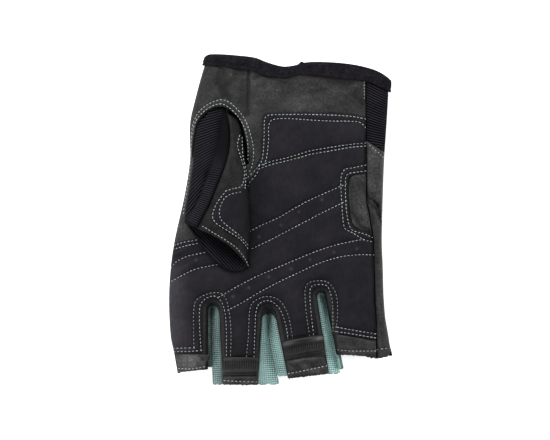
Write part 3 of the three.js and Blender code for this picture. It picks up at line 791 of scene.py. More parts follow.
def teal_finish(name):
    """Fine waffle knit: rows are ribs on the mesh, and the stitches along them are drawn here."""
    f = Finish(name, 0.85, 0.2, sheen=0.15)
    posts = f.spread(f.crests("post"), 0.05, 0.75, 0.05, 1.0)
    cell = f.math("MULTIPLY", f.spread(f.crests("rib"), 0.15, 0.85), posts)
    fuzz = f.noise(0.3, 4, 0.7)
    colour = f.mix(cell, (0.03, 0.065, 0.062), (0.34, 0.52, 0.5))
    colour = f.mix(f.spread(f.noise(6, 4), 0.35, 0.7, 0.0, 0.3), colour, (0.4, 0.58, 0.56))
    colour = f.mix(f.spread(fuzz, 0.3, 0.6, 0.35, 0.0), colour, (0.05, 0.1, 0.095))
    return f.done(f.toned(colour, 0.75), f.bump(fuzz, 0.1, 0.7, f.bump(cell, 0.15, 0.8)))


def tape_finish(name, dark, light):
    """Woven tape, with fine crossing threads."""
    f = Finish(name, 0.8, 0.05)
    warp, weft = [f.noise(0.7, 2, 0.5, stretch=way) for way in ((0.35, 1.6, 1.0), (1.6, 0.35, 1.0))]
    weave = f.math("MULTIPLY", warp, weft)
    colour = f.mix(f.spread(weave, 0.15, 0.4), dark, light)
    colour = f.scaled(colour, f.spread(f.noise(1.6, 4, 0.7), 0.35, 0.65, 0.6, 1.4))
    colour = f.mix(f.spread(f.noise(5, 5, 0.7), 0.4, 0.75, 0.0, 0.4), colour, [1.5 * c for c in light])
    return f.done(f.toned(colour), f.bump(weave, 0.2, 0.8), f.spread(weave, 0.1, 0.45, 0.7, 0.9))


def rubber_finish(name):
    f = Finish(name, 0.45, 0.26)
    fine, cloud = f.noise(0.6, 4, 0.6), f.noise(6, 4, 0.6)
    colour = f.clouded(cloud, (0.007, 0.007, 0.0072), (0.018, 0.018, 0.0185))
    colour = f.mix(f.spread(fine, 0.3, 0.6, 0.4, 0.0), colour, (0.003, 0.003, 0.0035))
    return f.done(f.toned(colour), f.bump(fine, 0.1, 0.7), f.spread(cloud, 0.3, 0.7, 0.36, 0.56))


def thread_finish(name, dark, light, gloss=0.3, sheen=0.2):
    f = Finish(name, 0.55, gloss, sheen)
    twist = f.noise(0.28, 3, 0.6)
    colour = f.mix(f.spread(twist, 0.3, 0.62), dark, light)
    colour = f.mix(f.spread(f.noise(5, 4, 0.7), 0.35, 0.65, 0.0, 0.75), colour, [0.8 * c for c in dark])
    return f.done(colour, f.bump(twist, 0.1, 0.8))


LEATHER = leather_finish("grained_leather", (0.007, 0.0068, 0.0068), (0.0165, 0.0162, 0.0162), 0.2, 1.15)
THUMB_LEATHER = leather_finish(
    "thumb_leather_grain", (0.0045, 0.0044, 0.0045), (0.0095, 0.0092, 0.0092), 0.1, 0.8
)
HEM_LEATHER = leather_finish("turned_leather", (0.009, 0.009, 0.0092), (0.022, 0.022, 0.022), 0.26)
SUEDE = suede_finish("brushed_suede", (0.0072, 0.0067, 0.0085), (0.0124, 0.0114, 0.0138))
RIB_KNIT = rib_finish("rib_knit", (0.0004, 0.0004, 0.0005), (0.0195, 0.0183, 0.0235), 0.02)
BACK_KNIT = rib_finish("back_stretch_knit", (0.004, 0.004, 0.005), (0.011, 0.011, 0.013))
TEAL_KNIT = teal_finish("teal_waffle_knit")
BINDING_TAPE = tape_finish("binding_tape", (0.0022, 0.002, 0.0027), (0.0105, 0.0093, 0.0122))
TAB_TAPE = rubber_finish("ribbed_tab_tape")
PALE_THREAD = thread_finish("pale_thread", (0.2, 0.235, 0.23), (0.52, 0.58, 0.57))
FINE_THREAD = thread_finish("fine_pale_thread", (0.12, 0.14, 0.14), (0.32, 0.36, 0.355))
BLACK_THREAD = thread_finish("black_thread", (0.002, 0.002, 0.003), (0.006, 0.0055, 0.007), 0.1, 0.0)

RIBS = ribs_tree()
ALONG_LINES = along_lines_tree()


# Outlines shared by the pieces

SLOTS = [
    {"crotch": -41.8, "top": (-36.9, -30.6), "end": (-37.3, -28.9), "back": (-34.9, -33.9)},
    {"crotch": -44.3, "top": (-9.1, -2.6), "end": (-11.4, 3.9), "back": (-5.8, -1.6)},
    {"crotch": -35.8, "top": (18.3, 22.9), "end": (24.9, 31.3), "back": (21.8, 30.6)},
]
SLOT_END_Y = -80.0
BACK_SLOT_WIDTH = 1.6
BACK_CROTCH_DROP = 3.0
SLOT_BORDER = 2.2

# Fingertips, from the index to the little finger: x at both sides, then y there
FINGER_SIDES = [(-60, -33), (-33, -5), (-5, 27), (27, 60)]
FINGER_ENDS = [(-77.2, -74.5), (-82.6, -82.75), (-80.6, -76.9), (-67.4, -69.4)]
BACK_ENDS = [(-76.0, -73.4), (-81.4, -81.6), (-79.0, -75.5), (-66.6, -68.4)]
PAD_ENDS = [(-66.3, -67.0), (-68.3, -68.6), (-60.2, -56.4), (-56.6, -62.5)]
HEM_STARTS = [(-66.9, -67.6), (-78.4, -78.4), (-71.8, -67.2), (-57.2, -63.1)]


def seam_x(y):
    return curve_value(SIDE_SEAM_Y, SIDE_SEAM_X, y)


def slot_turn(slot, part):
    """Middle and radius of the round top of a slot."""
    left, right = slot["top"]
    radius = (right - left) / 2
    if part == "front":
        return (left + right) / 2, slot["crotch"] - radius, radius
    return slot["back"][0], slot["crotch"] - BACK_CROTCH_DROP, BACK_SLOT_WIDTH / 2


def slot_leg(slot, side, part, y, margin):
    """x of a slot's left or right leg, or of a line that margin away from it."""
    way = (-1, 1)[side]
    if part == "front":
        top, end = slot["top"][side], slot["end"][side]
    else:
        top, end = [x + way * BACK_SLOT_WIDTH / 2 for x in slot["back"]]
    turn_y = slot_turn(slot, part)[1]
    return top + (end - top) * (turn_y - y) / (turn_y - SLOT_END_Y) + way * margin


def slot_line(slot, part, margin, left_y, right_y, step=0.5):
    """Up a slot's left leg, round its top and down its right leg."""
    x, y, radius = slot_turn(slot, part)
    reach = radius + margin
    left = [(slot_leg(slot, 0, part, at, margin), at) for at in np.arange(left_y, y, step)]
    top = [(x + reach * math.cos(turn), y + reach * math.sin(turn)) for turn in np.linspace(math.pi, 0, 25)]
    down = [*np.arange(y - step, right_y, -step), right_y]
    return left + top + [(slot_leg(slot, 1, part, at, margin), at) for at in down]


def across_finger(ends, finger, x):
    """y at a place on a line across a finger."""
    (left, right), (low, high) = FINGER_SIDES[finger], ends[finger]
    return low + (high - low) * (x - left) / (right - left)


def leg_end(slot, side, part, margin, ends, finger):
    """y where a slot's leg meets a line across a finger."""
    y = ends[finger][1 - side]
    for _ in range(4):
        y = across_finger(ends, finger, slot_leg(slot, side, part, y, margin))
    return y


def fingertip_line(ends, part, margin, left_x, right_x, fray=0.0):
    """Along the fingertips from left to right, up and down round each slot."""
    points = []
    for finger in range(4):
        start = left_x if finger == 0 else slot_leg(SLOTS[finger - 1], 1, part, ends[finger][0], margin)
        stop = right_x if finger == 3 else slot_leg(SLOTS[finger], 0, part, ends[finger][1], margin)
        xs = np.arange(start + 0.4, stop - 0.3, 0.5)
        rough = fray * (waves(xs, 0.0, 3.2, 40 + finger) + 0.4 * np.sin(5 * xs))
        points += [*zip(xs, across_finger(ends, finger, xs) + rough)]
        if finger < 3:
            slot = SLOTS[finger]
            left_y = leg_end(slot, 0, part, margin, ends, finger)
            right_y = leg_end(slot, 1, part, margin, ends, finger + 1)
            points += slot_line(slot, part, margin, left_y, right_y)
    return points


def under_binding(x):
    """y of the edge of leather, knit and fabric, which the binding covers."""
    edge, low = curve_value(WRIST_X, WRIST_Y, x), curve_value(BINDING_LOW_X, BINDING_LOW_Y, x)
    return edge - np.clip(edge - low - BINDING_OVERLAP, LEAST_FOLD, BINDING_FOLD)


def wrist_line(left_x, right_x):
    xs = np.arange(left_x, right_x, 0.6)
    return [*zip(xs, under_binding(xs))]


def down_seam(top, bottom, margin):
    ys = np.arange(top, bottom, -0.8)
    return [*zip(seam_x(ys) + margin, ys)]


# Stitch lines, from the pattern sheet


def pattern(lines):
    return {name: drawn(*points) for name, points in lines.items()}


SEAMS = pattern(
    {
        "hole_outer": [
            (190.6, 140), (191.6, 131), (194, 121), (198.5, 112.5), (203.5, 107.5), (211, 102.8),
            (220, 99.8), (227, 101), (235, 107), (244, 118), (250, 133), (253.5, 150), (252.5, 164),
            (250, 171),
        ],
        "hole_inner": [
            (190.8, 156), (191.3, 142), (193.2, 129), (197.3, 118.5), (207, 109), (218, 104), (226, 105.5),
            (234.5, 112.5), (240.5, 120), (245.7, 131.5), (248, 146), (248, 159),
        ],
        "heel_outer": [
            (257, 168), (262, 160), (264, 140), (264.5, 121), (266, 116.5), (270, 115), (290, 114.5),
            (310, 114.5), (340, 115.5), (356, 117), (365, 119),
        ],
        "heel_inner": [
            (264, 164.5), (266.5, 158), (268.5, 140), (269, 124.5), (272, 120), (285, 118.5), (310, 120),
            (330, 121), (355, 121.5), (361, 123), (365, 127),
        ],
        "curve_upper": [
            (259, 166), (270, 162), (290, 157), (300, 154), (310, 151), (330, 147.5), (350, 144.5),
            (366, 143),
        ],
        "curve_lower": [
            (259, 169), (270, 165), (290, 160), (300, 157.5), (310, 154.5), (330, 151), (350, 147.5),
            (366, 146),
        ],
        "beside_thumb_upper": [(259, 166), (254, 171.5), (248, 177)],
        "beside_thumb_lower": [(259, 169), (256, 175), (250, 182), (246, 190)],
        "channel_one_upper": [
            (250, 231.5), (260, 226), (280, 217), (290, 211), (310, 200), (330, 191), (346, 184),
        ],
        "channel_one_lower": [(249, 250), (260, 245), (280, 235), (300, 224.5), (320, 214), (346, 201)],
        "channel_two_upper": [
            (219, 297), (240, 285), (260, 275), (280, 266.5), (300, 258), (320, 250), (340, 244),
            (357, 240.5), (364, 239.5),
        ],
        "channel_two_lower": [
            (228, 310), (240, 304), (260, 292), (280, 281.5), (300, 272), (320, 263), (340, 257),
            (360, 254.7), (373, 255),
        ],
        "index_edge_upper": [(173, 245.5), (185, 242), (194, 240.5), (200, 239)],
        "index_edge_lower": [(173, 249.5), (185, 246), (192, 244.5), (204, 242)],
        "index_channel_upper": [(171.5, 267.5), (176, 262), (187, 256.5), (200, 253.5), (212, 251)],
        "index_channel_lower": [(172, 281), (185, 274), (196, 269), (218, 264.5), (232, 262)],
        "patch_outer": [
            (366, 165), (352, 168), (346, 169), (342.5, 172.5), (341, 178), (341, 190), (342, 206),
            (343.5, 224), (345.5, 229), (351, 232), (360, 237.5), (364, 240), (371, 241.5),
        ],
        "patch_inner": [
            (366, 171), (354, 172.5), (348, 174), (345.7, 178), (345.5, 196), (347, 215), (349.5, 226),
            (353, 230.5), (366, 234.5), (372, 237.5),
        ],
        "slot_1_outer": [
            (194, 347), (193.5, 325), (194, 307), (197, 299.5), (206, 294.5), (217, 292.5), (224, 295.5),
            (228.5, 308), (231, 332), (230.5, 355),
        ],
        "slot_1_inner": [
            (201, 350), (199.5, 325), (200, 306), (204, 300), (211, 296.3), (217, 297), (223, 305),
            (226, 322), (226.5, 355),
        ],
        "slot_2_outer": [
            (246.5, 356), (248.5, 335), (249.5, 312), (252, 303.5), (259, 298.5), (268, 296.5), (279, 300),
            (287, 312), (291, 328), (292.5, 338),
        ],
        "slot_2_inner": [
            (254, 356), (255, 330), (256, 312), (259, 304), (267, 300.5), (274, 303), (281, 311),
            (286, 326), (288, 338.5),
        ],
        "slot_3_outer": [
            (309.5, 335), (306.5, 315), (305, 292), (307, 284.5), (312, 281.5), (324, 281), (330, 284),
            (336, 294), (337.7, 312), (336.5, 327),
        ],
        "slot_3_inner": [
            (313.5, 334), (311, 312), (310, 290), (313, 285.5), (325, 285), (329, 289), (332.5, 303),
            (332.8, 320), (333, 331),
        ],
        "index_end_upper": [(173, 348.5), (185, 348), (194, 348)],
        "index_end_lower": [(174, 351.5), (188, 351.5), (201, 350.5)],
        "pinky_end_upper": [(336, 327), (355, 330.5), (376, 334)],
        "pinky_end_lower": [(333, 331), (355, 334.5), (376, 338)],
        "index_hem": [(177, 368.5), (190, 369), (204, 367)],
        "middle_hem": [(222.5, 380.5), (240, 381.5), (259, 382)],
        "ring_hem": [(287, 374), (305, 370.5), (326, 366)],
        "pinky_hem": [(335.5, 349.5), (350, 351), (375, 351)],
        "hole_side": [
            (191.1, 149), (190.6, 160), (189.9, 172), (188.3, 183), (186.3, 194), (184.6, 204),
            (183.4, 213),
        ],
    }
)
SIDE_SEAMS = pattern(
    {
        "gusset_end": [(370, 145.5), (376, 150.5), (383, 157)],
        "side_bump": [(384.5, 202), (382.5, 210), (381.5, 219)],
        "side_hem": [(377.5, 349.5), (390, 348)],
        "wrist_tack_left": [(364.3, 82), (364.3, 98)],
    }
)
THUMB_SEAMS = pattern(
    {
        "thumb_upper": [
            (239.5, 136), (237.5, 145), (240.5, 156), (244.5, 172), (241.5, 186), (232, 189), (226, 191),
        ],
        "thumb_side": [(242, 138), (243, 156), (246, 172), (245, 188)],
        "thumb_pad_outer": [
            (226, 191), (217, 203), (212.5, 216), (216, 223), (228, 231), (240, 239), (247.5, 248),
        ],
        "thumb_pad_inner": [
            (240, 192), (230, 194.5), (224, 199), (219.5, 210), (221, 219.5), (230, 228), (240, 236),
            (247.5, 244.5),
        ],
        "thumb_hem": [(203, 226.5), (212, 232), (227, 241), (237, 248.5), (245, 259), (248, 265)],
    }
)
CHANNEL_DOTS = drawn(
    (322, 200), (299, 212), (281, 225.5), (259, 237), (357, 249), (334, 252.5), (310, 260), (291, 269),
    (269, 277), (249, 288), (233, 297), (196, 260),
)


def smoothed(lines, *starts):
    """Those of the lines whose names start so, or all of them."""
    return [smooth(line, 0.5) for name, line in lines.items() if name.startswith(starts or "")]


PALM_LINES, SIDE_LINES, THUMB_LINES = smoothed(SEAMS), smoothed(SIDE_SEAMS), smoothed(THUMB_SEAMS)


def stitch_pull(x, y, lines, depth=0.4, width=0.75):
    """Groove that the stitches pull, deeper at each stitch's ends, and the distance to them."""
    far, place = nearest(np.column_stack([x.ravel(), y.ravel()]), lines)
    pucker = 0.85 + 0.15 * np.cos(math.tau * place / STITCH_PITCH)
    return (depth * pucker * bell(far, width)).reshape(x.shape), far


def uneven(x, y, *layers):
    """Waves on top of each other: how high, how far apart, and the seed of each."""
    return sum(high * waves(x, y, length, seed) for high, length, seed in layers)


# The pieces of the palm side. Creases and painted shading (shade below zero, highlights above) run from x, y to x, y,
# then say how much and how wide.

PALM_CREASES = [
    (-15.6, 74.5, -16.3, 62, 0.95, 0.7), (-16.3, 62, -16.7, 52.0, 0.8, 0.75), (-29.2, 76, -31.2, 67, 0.5, 1.6),
    (-31.2, 67, -27.2, 61, 0.7, 1.7), (-22, 74, -24, 66, 0.35, 2.0), (32.5, 62.5, 41, 57, 0.45, 1.5),
    (-13, 70, -4, 74, 0.4, 1.4), (16, 72, 30, 68, 0.3, 2.5),
]
# painted shade along the wrist leather's folds and beside the thumb hole, and painted highlights between the folds
PALM_PAINTED_SHADING = [
    (-28.4, 74.5, -26.2, 61, -0.5, 1.3), (-24.5, 73, -22.5, 62, 0.45, 1.6), (-25.8, 61, -25.2, 56, -0.55, 1.2),
    (-14.5, 48, -13.6, 36, -0.35, 2.5), (-30, 70, -26, 56, -0.6, 2.2),
]
PATCH_GROOVES = [(34.9, 21.8, 35.9, 3), (35.9, 3, 40, -3.6), (40, -3.6, 45, -6)]
SIDE_CREASES = [
    (44.6, 9.6, 48.2, 6.8, 1.5, 1.3), (48.2, 6.8, 49.6, 0.5, 1.3, 1.0), (49.6, 0.5, 50.0, -2.5, 0.6, 0.8),
    (47.5, -12, 48.5, -30, 0.5, 1.1), (46.2, 12, 46.2, -2, 0.7, 0.9), (47.9, -45, 50.5, -62, 0.5, 1.3),
    (48.0, 24, 48.4, 14, 0.3, 1.6),
]
HEM_CREASES = [
    (-40.5, -68.5, -36.5, -74.5, 0.5, 0.8), (10, -71, 16, -74, 0.3, 1.6), (4, -72.5, 9, -75, 0.3, 1.2),
    (-46, -70, -41, -74.5, 0.3, 1.2), (40, -61, 42, -67, 0.2, 1.4),
]

# Channels between two rows of stitches: from x, y to x, y, then half their width
CHANNELS = [
    (-53, -22.2, -40, -15.5, 3.4), (-40, -15.5, -24, -12.5, 3.2), (-14, -9.8, 32, 13.2, 4.0),
    (-27.5, -41.5, -10, -33, 3.6), (-10, -33, 20, -18.5, 4.2), (20, -18.5, 33, -14.6, 3.8),
    (33, -14.6, 46, -13.8, 3.6),
]


def palm_piece(name, node, slot, finish, outlines, spacing, insets, lift, tone, on_leather=True, **ribs):
    """A piece of the palm side, cut by its outlines in x and y and laid over the hand."""
    flat, faces, far = filled([unrolled(outline) for outline in outlines], spacing, insets)
    angle, y = side_angle(flat), flat[:, 1]
    upper = palm_point(angle, y)
    lower = upper + (0, 0, GAP) if on_leather else palm_point(angle, y, -WALL)
    x = upper[:, 0].copy()
    upper[:, 2] += lift(x, y, far)
    points, faces = two_layers(upper, lower, faces)
    values = {label: make(x, y, far) for label, make in {"tone": tone, **ribs}.items()}
    piece = new_piece(name, points, faces, finish, **doubled(values))
    return kept(piece, slot, node), cut_size([np.asarray(outline, float) for outline in outlines])


def palm_relief(x, y, far):
    """How far the leather of the palm side rises or sinks from the plain shape of the hand."""
    wrist = ramp(y - 45, 20)
    relief = -creased(PALM_CREASES, x, y) - stitch_pull(x, y, PALM_LINES, 0.3)[0]
    relief += 0.22 * waves(x, y, 16, 5) * (0.4 + 0.6 * wrist) + 0.1 * waves(x, y, 5, 6) * wrist
    return relief - 0.9 * (1 - edge_round(far, 1.3))


def palm_tone(x, y, far):
    # painted shade darkens the creases; painted highlights lighten the fold at the wrist's right side and the left
    # edge below the thumb
    tone = uneven(x, y, (0.3, 14, 8), (0.15, 5, 9)) - 1.3 * creased(PALM_CREASES, x, y)
    tone += pressed(PALM_PAINTED_SHADING, x, y) - 0.45 * bell(y - curve_value(WRIST_X, WRIST_Y, x) + 7, 2.5)
    tone += 0.55 * spot(x, y, -12.3, 60, 2.6, 9) + 0.35 * spot(x, y, 12, 62, 18, 7)
    cuff = 0.3 * bell(x + 14, 1.6) - 0.7 * bell(x + 16.1, 0.7) - 0.2 * (x < -16) - 0.15
    tone += cuff * ramp(y - 49, 6)
    tone += 0.35 * bell(np.hypot((x + 31) / 14, (y - 33) / 23) - 1, 0.05) * (x < -34)
    tone += pressed([(28, 65, 41, 57, 0.85, 2.2)], x, y) * ramp(42 - x, 3)
    border = ramp(-y - 30, 10)
    return tone * (1 - border) - 0.55 * border + pressed([(-52, -5, -48, -10, 0.9, 3)], x, y)


def leather_outline():
    tips = fingertip_line(FINGER_ENDS, "front", 0.0, -60, 48.2, fray=0.12)
    return np.array(wrist_line(-60, 43.0) + down_seam(under_binding(43.0), -68.4, -GAP / 2) + tips[::-1])


THUMB_HOLE = curved(
    (192.2, 157), (193.2, 142), (196.4, 125), (200.5, 117.3), (206, 111.8), (212, 108.5), (218, 107),
    (223.5, 107.3), (229.5, 110.3), (239.5, 120), (245, 137), (247.8, 156), (248, 164.5),
)
palm_leather, leather_cut = palm_piece(
    "palm_leather_cut", "palm_leather", "leather_grey", LEATHER,
    [leather_outline(), THUMB_HOLE], 0.85, (0.3, 0.8),
    palm_relief, palm_tone, on_leather=False,
)


def right_limit(y):
    centre, half, _, _ = hand_at(y)
    return np.minimum(centre + 0.965 * half, seam_x(y) - GAP)


def left_limit(y, reach=0.993):
    centre, half, _, _ = hand_at(y)
    return centre - reach * half


def dots(x, y, radius):
    return np.max([bell(np.hypot(x - dot_x, y - dot_y), radius, 3) for dot_x, dot_y in CHANNEL_DOTS], axis=0)


def pad_lift(x, y, far, puff=0.75):
    """Height of a pad over the leather: crowned between its stitches, lower in its channels."""
    pull, near = stitch_pull(x, y, PALM_LINES, 0.5, 0.8)
    crown = 1 - bell(np.minimum(near, far + 0.4), 2.6, 1.6)
    lift = (PAD - pull) * edge_round(far, 1.0) + (puff + uneven(x, y, (0.1, 9, 12), (0.05, 3.4, 13))) * crown
    return GAP + np.maximum(0.12, lift)


def palm_pad_lift(x, y, far):
    """The palm pad, flat in its channels but for their raised dots."""
    beside = [1 - bell(line_distance(x, y, *line), width, 6) for *line, width in CHANNELS]
    channel = np.min(beside, axis=0)
    return pad_lift(x, y, far, 0.85 * channel + 0.05) - 0.25 * (1 - channel) + 0.4 * dots(x, y, 0.95)


def pad_tone(x, y, far):
    # painted shade along the stitches, to the right of the thumb and along the side seam; painted highlight towards
    # the left edge near the fingers
    tone = uneven(x, y, (0.18, 22, 21), (0.1, 7, 22)) - 0.35 * bell(stitch_pull(x, y, PALM_LINES)[1], 1.0)
    tone += 3.4 * bell(x - left_limit(y), 7.5) * ramp(-18 - y, 14) - 0.45 * spot(x, y, -12.5, 5, 5, 18)
    tone -= 1.5 * bell(seam_x(y) - x, 1.1, 4) * (y < 44)
    return tone + 3.0 * dots(x, y, 0.8) + 0.25 * bell(far, 0.7)


CURVE = curved(
    (256.5, 169.5), (262, 167.2), (270, 163.5), (290, 158.5), (300, 155.7), (310, 152.7), (330, 149.3),
    (350, 146), (365, 144.3),
)
HEEL_TOP = curved(
    (365, 117.2), (356, 114.8), (340, 113.3), (310, 112.3), (290, 112.3), (269, 113), (264, 115),
    (262.3, 120), (261.8, 140), (259.8, 158), (256.5, 166),
)
PATCH_EDGE = curved(
    (368, 172.8), (356, 174.5), (350, 176.5), (348.3, 181), (348, 196), (349.5, 214), (351.8, 224),
    (356, 228.5), (364, 231), (373, 234.2),
)
BESIDE_THUMB = curved((256, 171), (251, 179), (243, 191), (221, 218), (194, 238.5), (185, 240.5), (176, 242.6))
SEAM_MARGIN = np.array([0, 0.2])


def edge_points(limit, start, stop, step=0.8):
    """Points down or up one side of the palm."""
    ys = np.arange(start, stop, step)
    return np.column_stack([limit(ys), ys])


def palm_pad_outline():
    left = [(float(left_limit(-11.6)), -11.6), *edge_points(left_limit, -12, -66.3, -0.8)]
    tips = fingertip_line(PAD_ENDS, "front", SLOT_BORDER, float(left_limit(-66.3)), float(right_limit(-60.0)))
    right = edge_points(right_limit, -59.6, PATCH_EDGE[-1, 1] - 0.2)
    patch = [p for p in PATCH_EDGE[::-1] if p[0] < right_limit(p[1])]
    above = edge_points(right_limit, PATCH_EDGE[0, 1] + 0.6, CURVE[-1, 1] - 0.6)
    return np.vstack([CURVE[::-1] - SEAM_MARGIN, BESIDE_THUMB, left, tips, right, patch, above])


def patch_outline():
    inner = [
        p + (0.35, -0.3 if k < 12 else 0.0)
        for k, p in enumerate(PATCH_EDGE)
        if p[0] < right_limit(p[1]) - 0.3
    ]
    return np.vstack([inner, edge_points(right_limit, -6.6, 22.6)])


def patch_grooves(x, y, *depths):
    return pressed([(*line, deep, 0.9) for line, deep in zip(PATCH_GROOVES, depths)], x, y)


def patch_lift(x, y, far):
    lift = 0.75 * edge_round(far, 0.9) - patch_grooves(x, y, 0.5, 0.5, 0.4)
    lift = lift + uneven(x, y, (0.22, 7, 31), (0.1, 2.6, 32))
    return GAP + np.maximum(0.15, lift)


def patch_tone(x, y, far):
    # painted shade in the grooves and along the side seam
    by_seam = bell(seam_x(y) - x, 1.2, 4)
    grooves = 1.2 * patch_grooves(x, y, 1, 1, 1)
    return 0.75 + 0.45 * waves(x, y, 8, 33) - grooves - 0.6 * bell(far, 0.6) - 1.2 * by_seam


heel_pad, _ = palm_piece(
    "heel_pad_suede", "heel_pad", "suede_charcoal", SUEDE,
    [np.vstack([CURVE + SEAM_MARGIN, [(42.5, 38.2), (42.5, 50.4)], HEEL_TOP])], 0.6, (0.2, 0.55),
    pad_lift, pad_tone,
)
palm_pad, _ = palm_piece(
    "palm_pad_suede", "palm_pad", "suede_charcoal", SUEDE, [palm_pad_outline()], 0.62, (0.2, 0.55),
    palm_pad_lift, pad_tone,
)
side_patch, patch_cut = palm_piece(
    "side_patch_leather", "side_patch", "leather_grey", LEATHER, [patch_outline()], 0.6, (0.2, 0.5),
    patch_lift, patch_tone,
)


# Little finger side: rib knit gusset and leather strip


def gusset_end(x):
    """y of the seam between gusset and strip."""
    (x1, y1), (x2, y2) = GUSSET_END
    return y1 + (y2 - y1) * (x - x1) / (x2 - x1)


def gusset_line(margin):
    return [(x, gusset_end(x) + margin) for x in np.linspace(43.5, 60.0, 30)]


def gusset_outline():
    left = down_seam(under_binding(43.3), gusset_end(43.3) + GAP / 2, GAP / 2)
    return np.array(left + gusset_line(GAP / 2) + wrist_line(43.3, 60)[::-1])


def side_outline():
    left = down_seam(gusset_end(43.3) - GAP / 2, -69.0, GAP / 2)
    xs = np.arange(48.6, 56.6, 0.3)
    fray = 0.14 * np.sin(2.7 * xs) + 0.1 * np.sin(6.1 * xs)
    tip = zip(xs, -69.6 + 0.2 * (xs - 48.6) + 0.9 * np.maximum(0, xs - 53.6) ** 2 + fray)
    right = [(60.0, y) for y in np.arange(-60, 28, 1.0)]
    return np.array(left + [*tip] + right + gusset_line(-GAP / 2)[::-1])


def ribs_across(pitch, heights, slopes, middle, x, y):
    """Number of ribs to a place. They rise towards the right by a slope in degrees that changes with y."""
    rows = np.linspace(-100, 100, 400)
    turn = np.radians(curve_value(heights, slopes, rows))
    count = np.concatenate([[0], np.cumsum(np.cos(turn[:-1]) * np.diff(rows))]) / pitch
    here = np.radians(curve_value(heights, slopes, y))
    return np.interp(y, rows, count) - (x - middle) * np.sin(here) / pitch


def side_lift(x, y, far):
    relief = pressed([(50.6, 7, 50.9, 3, 1.1, 2.0)], x, y) - pressed(SIDE_CREASES, x, y)
    relief += uneven(x, y, (0.18, 8, 61), (0.07, 3, 62)) - stitch_pull(x, y, SIDE_LINES, 0.3)[0]
    return relief - 0.7 * (1 - edge_round(far, 1.0))


def side_tone(x, y, far):
    top, below = ramp(y - 9, 4), gusset_end(x) - y
    tone = 0.45 + 1.0 * top + 0.3 * waves(x, y, 7, 63) + 0.35 * waves(x, y, 2.2, 64) * top
    tone += 0.4 * bell(x - 49.8, 0.8) * ramp(-5 - y, 5) + pressed([(46.9, 4.5, 48.6, -4, 0.7, 0.7)], x, y)
    tone += 1.6 * bell(below, 0.4) - 1.2 * bell(below - 1.5, 0.6) * ramp(x - 47, 3)
    # painted shade in the creases and along the side seam
    return tone - 1.1 * np.minimum(1, pressed(SIDE_CREASES, x, y)) - 1.5 * bell(x - seam_x(y), 1.2, 4)


gusset, gusset_cut = palm_piece(
    "side_gusset_knit", "side_gusset", "rib_knit_black", RIB_KNIT, [gusset_outline()], 0.27, (0.25,),
    lambda x, y, far: 0.15 * waves(x, y, 8, 52) - 0.5 * (1 - edge_round(far, 0.8)),
    # painted shade along the side seam
    lambda x, y, far: 0.15 * waves(x, y, 9, 51) - 0.5 * bell(x - seam_x(y), 1.2),
    on_leather=False,
    rib=lambda x, y, far: ribs_across(1.18, [80, 60, 50, 42, 25], [-27, -25, -19, -12, -9], 48.5, x, y),
    rib_depth=lambda x, y, far: ramp(far, 0.6),
)
ribbed(gusset, 0.34, RIB_KNIT)
side_panel, side_cut = palm_piece(
    "side_panel_leather", "side_panel", "leather_grey", LEATHER, [side_outline()], 0.6, (0.25, 0.6),
    side_lift, side_tone, on_leather=False,
)


# Back of the hand


def back_piece():
    outline = np.array(wrist_line(-60, 60) + fingertip_line(BACK_ENDS, "back", 0.0, -60, 60)[::-1])
    flat, faces, far = filled([unrolled(outline)], 1.15, (0.5,))
    angle, y = side_angle(flat), flat[:, 1]
    outer, inner = back_point(angle, y), back_point(angle, y, -WALL)
    outer[:, 2] += np.where(np.abs(np.sin(angle)) < 0.97, 0.5 * (1 - edge_round(far, 1.2)), 0)
    points, faces = two_layers(inner, outer, faces)
    tone = np.tile(0.15 * waves(outer[:, 0], y, 15, 71), 2)
    piece = new_piece("back_panel_fabric", points, faces, BACK_KNIT, tone=tone, rib=points[:, 0] / 1.3)
    return kept(piece, "back_fabric", "back_panel"), cut_size([outline])


back_panel, back_cut = back_piece()


# Binding folded over the wrist edge


